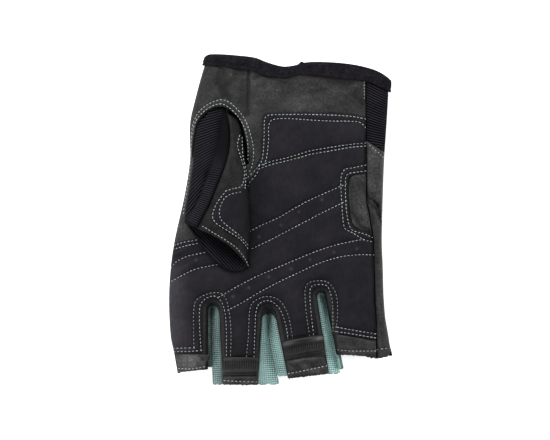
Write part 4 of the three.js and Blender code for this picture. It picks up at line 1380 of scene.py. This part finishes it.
def wrist_binding():
    count = 440
    # once round the wrist: over the palm from the thumb side, and back under the back of the hand
    turn = np.linspace(0, math.tau, count, endpoint=False)
    on_palm = turn < math.pi
    angle = np.where(on_palm, turn - QUARTER, 3 * QUARTER - turn)
    edge = WRIST_MIDDLE_Y
    for _ in range(13):
        centre, half, _, _ = hand_at(edge)
        x = centre + half * np.sin(angle)
        edge = curve_value(WRIST_X, WRIST_Y, x)
    width = np.maximum(edge - curve_value(BINDING_LOW_X, BINDING_LOW_Y, x), 1.2) / BINDING_WIDTH
    outer, inner = BINDING_CLEARANCE + BINDING_THICKNESS, BINDING_CLEARANCE
    room, fold = BINDING_FOLD - 2 * BINDING_CLEARANCE, 3.4
    # down the palm side, round the edge and down the back: distance from the edge, and height
    palm_side = [
        (BINDING_WIDTH, inner), (BINDING_WIDTH + 0.05, inner + 0.45), (BINDING_WIDTH - 0.3, outer - 0.1),
        (BINDING_WIDTH - 0.9, outer - 0.12), (BINDING_WIDTH - 1.3, outer - 0.3),
        (BINDING_WIDTH - 1.7, outer - 0.12),
        (3.2, outer), (2.4, outer), (1.6, outer), (0.8, outer - 0.12), (0.3, outer - 0.55), (0.0, 0.1),
    ]
    back_side = [
        (0.0, 0.1), (0.3, outer - 0.55), (0.8, outer - 0.12), (1.6, outer), (fold, outer),
        (BINDING_WIDTH - 0.3, outer - 0.1), (BINDING_WIDTH + 0.05, inner + 0.45), (BINDING_WIDTH, inner),
        (fold, inner), (room, inner),
    ]
    profile = palm_side + [(far, -WALL - height) for far, height in back_side] + [(room, inner), (fold, inner)]
    ripple = uneven(x, turn * 8, (0.13, 7, 81), (0.06, 2.6, 82))
    wobble = 0.2 * waves(x, turn * 8 + 50, 9, 83)
    rings = []
    for distance, offset in profile:
        middle = offset + WALL / 2
        notch = 0.9 * bell(x - 10.4, 0.9, 4) * (distance < 1)
        y = edge - distance * width + wobble * ramp(distance - 2, 3) + notch
        lift = ripple * abs(middle / (outer + WALL / 2)) * (abs(middle) > 1.6)
        palm, back = palm_point(angle, y, offset + lift), back_point(angle, y, offset)
        rings.append(np.where(on_palm[:, None], palm, back))
    points = np.vstack(rings)
    faces = outward(points, grid_faces(count, len(profile), wrapped=True))
    tone = 0.3 * waves(points[:, 0], points[:, 1], 9, 84)
    piece = new_piece("wrist_binding_tape", points, faces, BINDING_TAPE, tone=tone)
    kept(piece, "binding_black", "wrist_binding")


wrist_binding()


# Folded knit walls between the fingers

WEB_THICKNESS = 1.2
WEB_CLEARANCE = 0.5
SEAM_ALLOWANCE = 2.5
# One of each for every slot: y of both ends, how far the painted shade under the round top reaches, bend of the rows,
# and tone
WEB_ENDS = [(-73.5, -82.3), (-82.4, -78.0), (-77.0, -74.6)]
TOP_SHADE_REACH = [1.6, 3.0, 1.2]
CHEVRONS = [0.8, 2.6, 1.2]
WEB_TONES = [-0.75, -0.1, 0.22]


def fourchette(number):
    slot, (left_y, right_y) = SLOTS[number], WEB_ENDS[number]
    columns, rows = 330, 34
    along, down = np.linspace(0, 1, columns), np.linspace(0, 1, rows)[:, None]
    ends = np.minimum(along, 1 - along)

    def edge(part, margin):
        """The same share of each leg and of the round top on both edges."""
        line = np.array(slot_line(slot, part, margin, left_y, right_y, 0.25))
        run = np.concatenate([[0], np.cumsum(np.hypot(*np.diff(line, axis=0).T))])
        on_top = np.flatnonzero(line[:, 1] >= slot_turn(slot, part)[1] - 1e-6)
        at = np.interp(along, [0, 0.45, 0.55, 1], [0, run[on_top[0]], run[on_top[-1]], run[-1]])
        return np.column_stack([np.interp(at, run, line[:, k]) for k in (0, 1)])

    def layer(front_margin, back_margin):
        front, back = edge("front", front_margin), edge("back", back_margin)
        if number == 1:
            back[:, 0] += 0.7 - 2.1 * np.sin(math.pi * ramp(-44 - back[:, 1], 36))
        high, low = palm_height(front[:, 0], front[:, 1], -WALL) - WEB_CLEARANCE, WALL + 0.08
        lean = np.sign((front[0, 0] + front[-1, 0]) / 2 - front[:, 0])
        loose = 0.25 + 0.35 * np.sin(along * 9 + number * 2) ** 2
        sag = (0.7 * np.sin(math.pi * down) + loose * np.sin(math.tau * down) * 0.35) * lean
        frill = 0.35 * np.sin(down * 13 + number) * bell(ends, 0.02)
        x = front[:, 0] * (1 - down) + back[:, 0] * down + sag
        y = front[:, 1] * (1 - down) + back[:, 1] * down + frill
        return np.stack([x, y, high * (1 - down) + low * down], axis=-1)

    meeting = -0.08 - BACK_SLOT_WIDTH / 2
    outer, inner = layer(GAP, meeting), layer(GAP + WEB_THICKNESS, meeting + WEB_THICKNESS)
    x, y = outer[..., 0], outer[..., 1]
    run = np.concatenate([[0], np.cumsum(np.linalg.norm(np.diff(outer[rows // 3], axis=0), axis=1))])
    toward = np.sign((x[0, 0] + x[0, -1]) / 2 - x[:1])
    # painted light and shade: lighter further down the walls, painted shade along their upper edge and a dark line
    # where the walls meet
    tone = 0.7 * down - 0.55 * bell(down, 0.08) - 1.2 * down**24 + 0.1 * np.sin(run / 3) + WEB_TONES[number]
    if number == 0:
        # painted shade on the lower part of the first slot's left wall
        tone = tone - 0.6 * (toward > 0) * ramp(-60 - y, 6)
    turn_x, turn_y, radius = slot_turn(slot, "front")
    top = turn_y + np.sqrt(np.maximum(0, radius**2 - (x - turn_x) ** 2))
    # the tone below adds painted shade under the slot's round top
    piece = walled(
        f"fourchette_{number + 1}_knit", outer, inner, TEAL_KNIT,
        tone=tone - 1.6 * ramp(y - top + TOP_SHADE_REACH[number], 0.5) * (y > turn_y - 2),
        rib=run + down * toward * CHEVRONS[number] * np.clip((y + 72) / 22, 0.2, 1),
        post=np.hypot(x - x[:1], y - y[:1]) / 0.95,
        rib_depth=ramp(down * 14, 1) * np.clip(ends * 60, 0.3, 1),
    )
    ribbed(piece, 0.22, TEAL_KNIT)
    return kept(piece, "teal_knit", f"fourchette_{number + 1}"), strip_size(outer, SEAM_ALLOWANCE)


fourchettes = [fourchette(number) for number in range(3)]


# Hems and pull tabs at the fingertips


def hem_outline(finger):
    margin = 0.6

    def side_x(side, y):
        if finger == (0, 3)[side]:
            return float((left_limit(y, 0.985), right_limit(y))[side])
        return slot_leg(SLOTS[finger - 1 + side], 1 - side, "front", y, margin)

    sides = []
    for side in (0, 1):
        x = (-48, 47)[side] if finger == (0, 3)[side] else side_x(side, HEM_STARTS[finger][side])
        start = across_finger(HEM_STARTS, finger, x)
        ys = start + (FINGER_ENDS[finger][side] - start) * np.linspace(0, 1, 24)
        sides.append([(side_x(side, y), y) for y in ys])
    left, right = sides
    if finger == 0:
        right = [(x + 2.7 * bell(y + 68.3, 3.6), y) for x, y in right]
    xs = np.arange(left[-1][0] + 0.3, right[-1][0] - 0.2, 0.3)
    fray = 0.3 * waves(xs, 0 * xs, 1.9, 90 + finger) + 0.15 * np.sin(xs * 4.1)
    if finger == 3:
        fray = fray - 0.75 * bell(xs - 45.5, 3)
    return np.array(left + [*zip(xs, across_finger(FINGER_ENDS, finger, xs) + fray)] + right[::-1])


def hem_lift(x, y, far):
    lift = 0.95 * edge_round(far, 0.8) - stitch_pull(x, y, PALM_LINES, 0.35)[0] + 0.16 * waves(x, y, 5, 95)
    return GAP + np.maximum(0.15, lift - pressed(HEM_CREASES, x, y))


def hem_tone(x, y, far):
    # painted shade in the creases; painted highlights on the index hem's left part and along a fold of the ring hem
    tone = 0.45 * waves(x, y, 6, 96) - 0.8 * np.minimum(1, pressed(HEM_CREASES, x, y)) - 0.25
    tone += 4.2 * spot(x, y, -46, -71, 7, 4) + pressed([(7, -70.5, 17, -69.0, 1.1, 1.6)], x, y)
    return tone - 0.5 * bell(far, 0.5)


for finger, label in enumerate(("index", "middle", "ring", "pinky")):
    palm_piece(
        f"{label}_hem_leather", f"{label}_hem", "leather_grey", HEM_LEATHER,
        [hem_outline(finger)], 0.55, (0.2, 0.5),
        hem_lift, hem_tone,
    )

TAB_THICKNESS = 1.8
TAB_RIB_PITCH = 1.17


def pull_tab(label, corners, roll_at, roll_width, row_at, row_width, swell, painted_highlight=0.0):
    """A tape across the fingertip, thicker at its rolled upper edge, with a row of ribs below."""
    lower_left, lower_right, upper_right, upper_left = np.array(corners)
    across, down = np.linspace(0, 1, 130)[None, :], np.linspace(0, 1, 66)[:, None]
    u, v = across[..., None], down[..., None]
    place = (upper_left * (1 - u) + upper_right * u) * (1 - v) + (lower_left * (1 - u) + lower_right * u) * v
    x, y = place[..., 0], place[..., 1] + 0.25 * np.sin(math.pi * across) * (1 - down)
    roll, row = bell(down - roll_at, roll_width, 4), bell(down - row_at, row_width, 6)
    width = np.hypot(*(upper_right - upper_left))
    beat = 0.5 + 0.5 * np.cos(math.tau * across * width / TAB_RIB_PITCH)
    lift = 0.85 + swell * roll + (0.5 * beat - 0.25) * row - 0.5 * bell(down - 0.93, 0.06)
    edge = np.minimum(np.minimum(down, 1 - down) * 8, np.minimum(across, 1 - across) * width)
    lift = np.minimum(lift * (0.25 + 0.75 * edge_round(edge, 0.7)), TAB_THICKNESS)
    base = palm_height(x, y) + GAP
    ends = bell(across - 0.12, 0.16) + bell(across - 0.9, 0.1)
    # painted highlight at both ends of the roll; painted shade in the furrows between ribs, lighter on their crests
    tone = 0.1 * roll + painted_highlight * bell(down - roll_at, 0.1) * ends - 1.4 * (1 - beat) * row + 0.3 * beat * row
    tone = tone - 0.9 * bell(down - 0.95, 0.05) - 0.5 * bell(down, 0.06) + 0.2 * waves(x, y, 4, 98)
    outer, inner = np.stack([x, y, base + lift], axis=-1), np.stack([x, y, base], axis=-1)
    kept(walled(f"pull_tab_{label}_tape", outer, inner, TAB_TAPE, tone=tone), "tab_tape", f"pull_tab_{label}")


pull_tab("middle", [(-28.7, -77.8), (-11.1, -77.8), (-10.7, -68.9), (-29.0, -68.8)],
    0.14, 0.12, 0.47, 0.24, 0.35)
pull_tab("ring", [(2.8, -70.0), (22.7, -66.0), (21.6, -57.4), (0.8, -60.9)],
    0.2, 0.2, 0.6, 0.2, 0.75, painted_highlight=7.0)


# The thumb, row by row from its root to its mouth: left and right edge, height of its floor, and crown

THUMB_ROW = [0, 1, 2, 3, 4, 5, 6]
THUMB_LEFT_X = [-36.5, -41.3, -43.0, -43.8, -45.6, -47.2, -48.0]
THUMB_LEFT_Y = [52.8, 47.3, 38.7, 27.2, 14.7, 6.2, -1.3]
THUMB_RIGHT_X = [-26.0, -20.9, -18.4, -16.8, -15.1, -15.1, -15.6]
THUMB_RIGHT_Y = [53.2, 48.7, 37.2, 22.2, 4.7, -10.3, -24.3]
THUMB_UNDER = [-2.9, -2.6, -1.6, 2.2, 2.8, 2.8, 2.8]
THUMB_CROWN = [0.4, 1.6, 3.6, 6.0, 7.0, 7.4, 7.4]
THUMB_MOUTH = 6
THUMB_ROOT = -1
THUMB_ROOT_REACH = 4.2
THUMB_WALL = 1.4
THUMB_LOWER_WALL = 1.2
THUMB_LIP_CUT = 0.34
THUMB_LIP_REACH = 9.4
THUMB_ROUND = 2.6
THUMB_FOLDS = [(-29.1, 50, -36.0, 21, 1.5, 3.2), (-36.0, 21, -47.0, 0, 1.5, 3.2)]
THUMB_SEAM = smooth(
    [(-29.2, 60), (-26.4, 51.4), (-25.0, 42), (-25.6, 31.5), (-28.6, 20.8), (-35.8, 4.8), (-43, -8)]
)
THUMB_CREASE = curved(
    (224.5, 100), (222.5, 116), (219, 135), (217, 150), (209, 174), (197.5, 202), (187, 219), (182, 230)
)
THUMB_CREASES = [(-19, 43, -20.5, 30, 0.6, 1.2), (-25, 30, -22, 18, 0.3, 2.0), (-31, 12, -26, 16, 0.3, 1.6)]


def thumb_point(across, row, narrowing=0.0, raised=0.0):
    """A point of the thumb's upper side, from -1 at its left edge to 1 at its right."""
    tables = (THUMB_LEFT_X, THUMB_LEFT_Y, THUMB_RIGHT_X, THUMB_RIGHT_Y, THUMB_UNDER, THUMB_CROWN)
    left_x, left_y, right_x, right_y, under, crown = [curve_value(THUMB_ROW, table, row) for table in tables]
    half_x, half_y = (right_x - left_x) / 2, (right_y - left_y) / 2
    length = np.hypot(half_x, half_y)
    share = across * (length - narrowing) / length
    dive = THUMB_ROOT_REACH * np.maximum(0, -row)
    x, y = (left_x + right_x) / 2 + half_x * share, (left_y + right_y) / 2 + half_y * share + dive
    rise = np.maximum(0, crown + raised - pressed(THUMB_FOLDS, x, y)) * roundness(across, THUMB_ROUND)
    return np.stack([x, y, palm_height(x, y) + under + THUMB_LOWER_WALL + GAP - dive + rise], axis=-1)


def lip_row(across):
    """Row at which the upper side of the thumb ends: its mouth is cut back in the middle."""
    return THUMB_MOUTH - THUMB_LIP_CUT * (1 - across**2) * (1 + 0.35 * across)


def seam_across(row, line=THUMB_SEAM, shift=0.0):
    """Where a line along the thumb crosses each row, smoothed over five rows."""
    order = np.argsort(line[:, 1])
    across = np.linspace(-1, 1, 600)
    found = []
    for at in row.ravel():
        place = thumb_point(across, np.full(600, at))
        beyond = place[:, 0] - np.interp(place[:, 1], line[order, 1], line[order, 0]) > shift
        found.append(across[np.argmax(beyond) if beyond.any() else -1])
    return np.convolve(np.pad(found, 2, mode="edge"), np.full(5, 0.2), "valid")[:, None]


def thumb_rows(count):
    return np.linspace(THUMB_ROOT, THUMB_MOUTH, count)[:, None]


def to_lip(row, across):
    """Rows drawn out so that the last one follows the mouth, and the distance to the mouth."""
    row = THUMB_ROOT + (row - THUMB_ROOT) * (lip_row(across) - THUMB_ROOT) / (THUMB_MOUTH - THUMB_ROOT)
    return row, (lip_row(across) - row) * 10


def thumb_wall(name, finish, across, row, relief, **values):
    """A piece of the thumb's upper side. Its edges reach down over the sides of the lower wall."""
    outer, inner = thumb_point(across, row, 0, THUMB_WALL), thumb_point(across * 0.999, row, THUMB_WALL)
    lap = 0.4 * bell(1 - np.abs(across), 0.01) * ramp(row - 2.8, 0.3)
    outer[..., 2] += relief - lap
    return walled(name, outer, inner, finish, **values), strip_size(outer)


def thumb_knit():
    row, u = thumb_rows(330), np.linspace(0, 1, 64)[None, :]
    stop = seam_across(row, shift=-GAP / 2)
    crease = np.minimum(seam_across(row, THUMB_CREASE), stop - 0.06)
    # finer towards the rounded left edge
    across = -1 + (stop + 1) * (1 - np.cos(u * QUARTER)) ** 0.9
    row, rim = to_lip(row, across)
    on_band = across > crease
    band = ramp(across - crease, np.maximum(stop - crease, 0.05))
    outer_face = ramp(crease - across, np.maximum(crease + 1, 0.05))
    x, y = np.moveaxis(thumb_point(across, row, 0, THUMB_WALL)[..., :2], -1, 0)
    hollow = 0.9 * bell(outer_face, 0.15) * (1 - on_band) + 0.3 * bell(band, 0.12) * on_band
    relief = 0.75 * np.sin(math.pi * band) ** 0.7 * ramp(row, 1.2) - hollow * ramp(row, 0.8)
    relief += 0.12 * waves(x, y, 9, 101) - 0.35 * bell(1 - band, 0.15) * on_band
    face = ribs_across(1.22, [60, 50, 42, 30, 20, 8, -8], [12, 16, 20, 32, 42, 50, 54], -39.5, x, y)
    over = ribs_across(1.12, [50, 28, 15, 2, -8], [-2, -4, -15, -28, -33], -36, x, y)
    edge = np.minimum((1 - band) * 5 * on_band + ~on_band, ramp(rim - 1.2, 0.8))
    on_face = np.clip(outer_face * 8, 0.2, 1)
    on_top = 0.5 * ramp(band * 7, 1) * np.clip((34 - y) / 12, 0.12, 1)
    # painted shade beside the crease on the recessed face, along the left edge and at the root under the hole's arch
    tone = np.where(
        on_band,
        0.1 - 0.5 * ramp(y - 30, 12) + 0.3 * bell(band, 0.2) - 0.75 * bell(1 - band, 0.13),
        -0.1 - 0.35 * bell(outer_face, 0.12),
    )
    tone += 0.5 * bell(rim - 0.6, 0.6) - 0.5 * bell(across + 1, 0.12) - 0.8 * ramp(y - 52.5, 3)
    piece, size = thumb_wall(
        "thumb_knit_ribbed", RIB_KNIT, across, row, relief * roundness(across, THUMB_ROUND),
        tone=tone, rib=np.where(on_band, over, face),
        rib_depth=np.clip(edge, 0, 1) * np.where(on_band, on_top, on_face),
    )
    ribbed(piece, 0.3, RIB_KNIT)
    return kept(piece, "rib_knit_black", "thumb_knit"), size


def thumb_leather():
    row, u = thumb_rows(190), np.linspace(0, 1, 72)[None, :]
    start = seam_across(row, shift=GAP / 2)
    across = start + (1 - start) * np.sin(u * QUARTER) ** 0.95
    row, rim = to_lip(row, across)
    x, y = np.moveaxis(thumb_point(across, row, 0, THUMB_WALL)[..., :2], -1, 0)
    creases = creased(THUMB_CREASES, x, y)
    relief = uneven(x, y, (0.2, 9, 111), (0.06, 3, 112)) - creases - stitch_pull(x, y, THUMB_LINES, 0.35)[0]
    relief = (relief - 0.3 * bell(u, 0.05)) * roundness(across, THUMB_ROUND)
    relief -= 0.7 * (1 - edge_round(rim, 1.3))
    # painted shade in the creases, towards the right side where it turns down, and at the root under the hole's arch
    tone = 0.2 * waves(x, y, 10, 113) - 0.8 * creases + 0.35 * spot(x, y, -24, 24, 6, 14)
    tone -= 0.6 * bell(u, 0.06) + 0.5 * ramp(across - 0.8, 0.2)
    tone += 0.6 * bell(rim, 0.5) - 0.9 * ramp(y - 49, 5)
    piece, size = thumb_wall("thumb_leather_side", THUMB_LEATHER, across, row, relief, tone=tone)
    return kept(piece, "leather_grey", "thumb_leather"), size


def thumb_place(points):
    """Row and place across the thumb of points in x and y, from the four nearest known ones."""
    row, across = np.meshgrid(np.linspace(0, THUMB_MOUTH, 160), np.linspace(-1, 1, 120), indexing="ij")
    row, across = row.ravel(), across.ravel()
    known = thumb_point(across, row)[:, :2]
    found = []
    for low in range(0, len(points), 1000):
        some = points[low : low + 1000]
        far = np.hypot(some[:, None, 0] - known[None, :, 0], some[:, None, 1] - known[None, :, 1])
        order = np.argpartition(far, 4, axis=1)[:, :4]
        weight = 1 / np.maximum(np.take_along_axis(far, order, 1), 1e-4) ** 2
        weight /= weight.sum(axis=1, keepdims=True)
        found.append([(row[order] * weight).sum(axis=1), (across[order] * weight).sum(axis=1)])
    return np.hstack(found)


def thumb_patch():
    curve = curved(
        (246, 187.5), (237, 189), (226, 189.3), (216.5, 200),
        (211, 215.5), (214.5, 223), (227, 231.5), (240, 239.8),
    )
    side = [(-15.9, -15.2), (-15.5, -11), (-15.4, -4), (-15.4, 4), (-15.9, 11), (-16.3, 14)]
    flat, faces, far = filled([np.vstack([curve, side])], 0.6, (0.2, 0.5))
    row, across = thumb_place(flat)
    lower = thumb_point(np.minimum(across, 0.945), row, 0, THUMB_WALL) + (0, 0, 0.28)
    x, y = lower[:, 0], lower[:, 1]
    pull, near = stitch_pull(flat[:, 0], flat[:, 1], THUMB_LINES, 0.4, 0.8)
    crown = 1 - bell(np.minimum(near, far + 0.3), 2.4, 1.6)
    lift = (0.75 - pull) * edge_round(far, 0.9) + (0.45 + 0.08 * waves(x, y, 8, 121)) * crown
    upper = lower + np.column_stack([0 * x, 0 * x, np.maximum(0.1, lift)])
    values = doubled({"tone": 0.15 * waves(x, y, 9, 122) - 0.25})
    piece = new_piece("thumb_patch_suede", *two_layers(upper, lower, faces), SUEDE, **values)
    return kept(piece, "suede_charcoal", "thumb_patch")


def thumb_lower():
    u, v = np.linspace(0, 1, 120)[None, :], np.linspace(0, 1, 90)[:, None]
    row = 2.75 + 3.25 * v + 0 * u
    place = thumb_point(2 * u - 1 + 0 * v, row, 0.5)
    x, y = place[..., 0], place[..., 1] - THUMB_LIP_REACH * np.sin(math.pi * u**1.25) ** 0.85 * v**3
    base = palm_height(x, y) + curve_value(THUMB_ROW, THUMB_UNDER, row)
    rim, side = np.hypot(x - x[-1:], y - y[-1:]), np.minimum(u, 1 - u)
    top = THUMB_LOWER_WALL * edge_round(rim, 0.7) + 0.22 * bell(side, 0.05) + 0.3 * bell(rim - 0.9, 0.6)
    top = np.maximum(0.1, top - 0.3 * ramp(rim - 1.5, 1) * ramp(side * 9, 1))
    outer, inner = np.stack([x, y, base + top], axis=-1), np.stack([x, y, base], axis=-1)
    # painted shade deeper inside the mouth, away from its rim
    piece = walled(
        "thumb_lower_knit", outer, inner, RIB_KNIT,
        tone=1.3 * bell(rim - 0.8, 0.6) - 0.7 * ramp(rim - 3, 6) - 0.1,
        rib=ribs_across(1.15, [0, -60], [-46, -46], 0, x, y),
        rib_depth=ramp(side * 20, 1) * ramp(rim - 1.4, 0.5),
    )
    ribbed(piece, 0.4, RIB_KNIT)
    return kept(piece, "rib_knit_black", "thumb_lower"), strip_size(outer)


thumb_knit_piece, thumb_knit_cut = thumb_knit()
thumb_leather_piece, thumb_leather_cut = thumb_leather()
thumb_patch_piece = thumb_patch()
thumb_lower_piece, thumb_lower_cut = thumb_lower()


# Stitches


def one_stitch():
    """One visible stitch: a short thread that dives into the leather at both ends."""
    sides = 6
    # along the stitch, rise and thickness of each ring of points
    half = [(0.36, 0.02, 0.95), (0.5, -0.42, 0.45)]
    rings = [(-at, rise, size) for at, rise, size in reversed(half)] + [(0.0, 0.14, 1.0)] + half
    points = []
    for at, rise, size in rings:
        for turn in np.arange(sides) * math.tau / sides:
            aside, up = size / 2 * math.cos(turn), rise + size / 2 * math.sin(turn)
            points.append((at * STITCH_LENGTH, aside * THREAD, up * THREAD))
    faces = []
    for first in range(0, len(points) - sides, sides):
        for k in range(sides):
            a, b = first + k, first + (k + 1) % sides
            faces.append((a, a + sides, b + sides, b))
    faces += [tuple(range(sides)), tuple(range(len(points) - 1, len(points) - sides - 1, -1))]
    mesh = bpy.data.meshes.new("one_stitch")
    mesh.from_pydata((np.array(points) * MM).tolist(), [], faces)
    mesh.validate()
    return linked("one_stitch", mesh)


STITCH = one_stitch()


def surface_tree(*labels):
    """What lines are dropped on: the meshes of these pieces."""
    points, faces = [], []
    for label in labels:
        mesh, first = bpy.data.objects[label].data, len(points)
        points += [v.co.copy() for v in mesh.vertices]
        faces += [tuple(first + k for k in polygon.vertices) for polygon in mesh.polygons]
    return BVHTree.FromPolygons(points, faces)


def laid_on(tree, line):
    """Runs of a line dropped on a surface from above, with the way up at each point."""
    sink, highest, step = 0.05 * MM, 60 * MM, 1.1 * MM
    runs = [[]]
    for x, y in line:
        place, normal, _, _ = tree.ray_cast(Vector((x * MM, y * MM, highest)), Vector((0, 0, -1)))
        if place is None or (runs[-1] and abs(place.z - runs[-1][-1][0].z) > step):
            runs.append([])
        if place is not None:
            runs[-1].append((place - normal * sink, normal if normal.z > 0 else -normal))
    return [run for run in runs if len(run) > 3]


def stitched(name, tree, lines, seed, thread=PALE_THREAD, slot="thread_pale", pitch=STITCH_PITCH):
    """A piece of stitches along lines that lie on a surface."""
    points, edges, ups = [], [], []
    for line in lines:
        for run in laid_on(tree, line):
            first = len(points)
            points += [tuple(place) for place, _ in run]
            ups += [tuple(up) for _, up in run]
            edges += [(k, k + 1) for k in range(first, len(points) - 1)]
    mesh = bpy.data.meshes.new(name)
    mesh.from_pydata(points, edges, [])
    layer = mesh.attributes.new("up", "FLOAT_VECTOR", "POINT")
    layer.data.foreach_set("vector", np.array(ups, np.float32).ravel())
    piece = linked(name, mesh)
    worked(piece, ALONG_LINES, Pitch=pitch * MM, Shape=STITCH, Lean=0.12, Finish=thread, Seed=seed)
    kept(piece, slot)


PALM_SIDE = surface_tree(
    "palm_leather_cut", "palm_pad_suede", "heel_pad_suede", "side_patch_leather", "side_panel_leather",
    "side_gusset_knit", "index_hem_leather", "middle_hem_leather", "ring_hem_leather", "pinky_hem_leather",
)
THUMB_SIDE = surface_tree("thumb_leather_side", "thumb_patch_suede")
BINDING_SIDE = surface_tree("wrist_binding_tape")
SLOT_ROWS = [[f"slot_{number}_{row}" for number in (1, 2, 3)] for row in ("inner", "outer")]
CHANNELS = ("channel", "index_channel", "index_edge", "patch")
FINGERTIPS = ("index_end", "pinky_end", "index_hem", "middle_hem", "ring_hem", "pinky_hem")
along = np.arange(-36, 52, 0.5)
on_binding = [*zip(along, curve_value(BINDING_LOW_X, BINDING_LOW_Y, along) + 1.3)]

stitched("stitches_thumb_hole", PALM_SIDE, smoothed(SEAMS, "hole"), 1)
stitched("stitches_heel", PALM_SIDE, smoothed(SEAMS, "heel", "curve", "beside"), 2)
stitched("stitches_channels", PALM_SIDE, smoothed(SEAMS, *CHANNELS), 3)
stitched("stitches_slots", PALM_SIDE, smoothed(SEAMS, *SLOT_ROWS[0]), 4)
stitched("stitches_outside_slots", PALM_SIDE, smoothed(SEAMS, *SLOT_ROWS[1]), 9, FINE_THREAD)
stitched("stitches_fingertips", PALM_SIDE, smoothed(SEAMS, *FINGERTIPS), 5)
stitched("stitches_side", PALM_SIDE, smoothed(SIDE_SEAMS, "gusset", "side"), 6)
stitched("stitches_wrist_side", PALM_SIDE, smoothed(SIDE_SEAMS, "wrist"), 10, FINE_THREAD, pitch=1.4)
stitched("stitches_thumb", THUMB_SIDE, smoothed(THUMB_SEAMS), 7)
stitched("stitches_binding", BINDING_SIDE, [on_binding], 8, BLACK_THREAD, "binding_black")

mesh = STITCH.data
bpy.data.objects.remove(STITCH)
bpy.data.meshes.remove(mesh)


# Floor, light and camera


def studio():
    reach, drop = 1.2, -0.05 * MM
    corners = [(x * reach, y * reach, drop) for x, y in ((-1, -1), (1, -1), (1, 1), (-1, 1))]
    mesh = bpy.data.meshes.new("pale_floor")
    mesh.from_pydata(corners, [], [(0, 1, 2, 3)])
    finish = bpy.data.materials.new("pale_floor")
    finish.use_nodes = True
    shader = finish.node_tree.nodes["Principled BSDF"].inputs
    shader["Base Color"].default_value = (0.85, 0.85, 0.85, 1)
    shader["Emission Color"].default_value = (1, 1, 1, 1)
    shader["Emission Strength"].default_value = 0.7
    shader["Roughness"].default_value = 0.9
    shader["Specular IOR Level"].default_value = 0.1
    mesh.materials.append(finish)
    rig.stage(linked("pale_floor", mesh))

    world = bpy.data.worlds.new("soft_studio")
    world.use_nodes = True
    world.node_tree.nodes["Background"].inputs["Color"].default_value = (1, 1, 1, 1)
    world.node_tree.nodes["Background"].inputs["Strength"].default_value = 0.42
    bpy.context.scene.world = world

    for name, place, size, power in (
        ("key_light", (-0.2, 0.6, 0.6), 0.45, 8.0),
        ("fill_light", (0.55, 0.1, 0.5), 0.6, 3.0),
        ("left_light", (-0.6, -0.1, 0.45), 0.6, 3.0),
    ):
        light = bpy.data.lights.new(name, "AREA")
        light.shape, light.size, light.energy = "DISK", size, power
        lamp = linked(name, light)
        lamp.location = place
        lamp.rotation_euler = (-Vector(place)).to_track_quat("-Z", "Y").to_euler()

    camera = bpy.data.cameras.new("camera")
    camera.type = "ORTHO"
    camera.ortho_scale = 0.275
    camera.clip_end = 10
    eye = linked("camera", camera)
    eye.location = (-0.002625, -0.00025, 1.0)
    bpy.context.scene.camera = eye
    bpy.context.scene.view_settings.view_transform = "Standard"


studio()

# What each soft piece was cut from
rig.sheet(palm_leather, held="laid", rests_on=["back_panel_fabric"], **leather_cut)
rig.sheet(back_panel, held="laid", **back_cut)
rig.sheet(side_panel, held="laid", **side_cut)
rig.sheet(gusset, held="stretched", **gusset_cut)
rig.sheet(side_patch, held="laid", rests_on=["palm_leather_cut"], **patch_cut)
for piece, cut in fourchettes:
    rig.sheet(piece, held="folded", **cut)
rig.sheet(thumb_knit_piece, held="folded", **thumb_knit_cut)
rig.sheet(thumb_leather_piece, held="folded", **thumb_leather_cut)
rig.sheet(thumb_lower_piece, held="laid", rests_on=["palm_leather_cut"], **thumb_lower_cut)
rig.padded(heel_pad, fill=0.5)
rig.padded(palm_pad, fill=0.5)
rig.padded(thumb_patch_piece, fill=0.4)

with open("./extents.json", "w") as size_file:
    json.dump({"cad": [list(c) for c in cad_box], "seen": [list(c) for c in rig.bounds()]}, size_file)
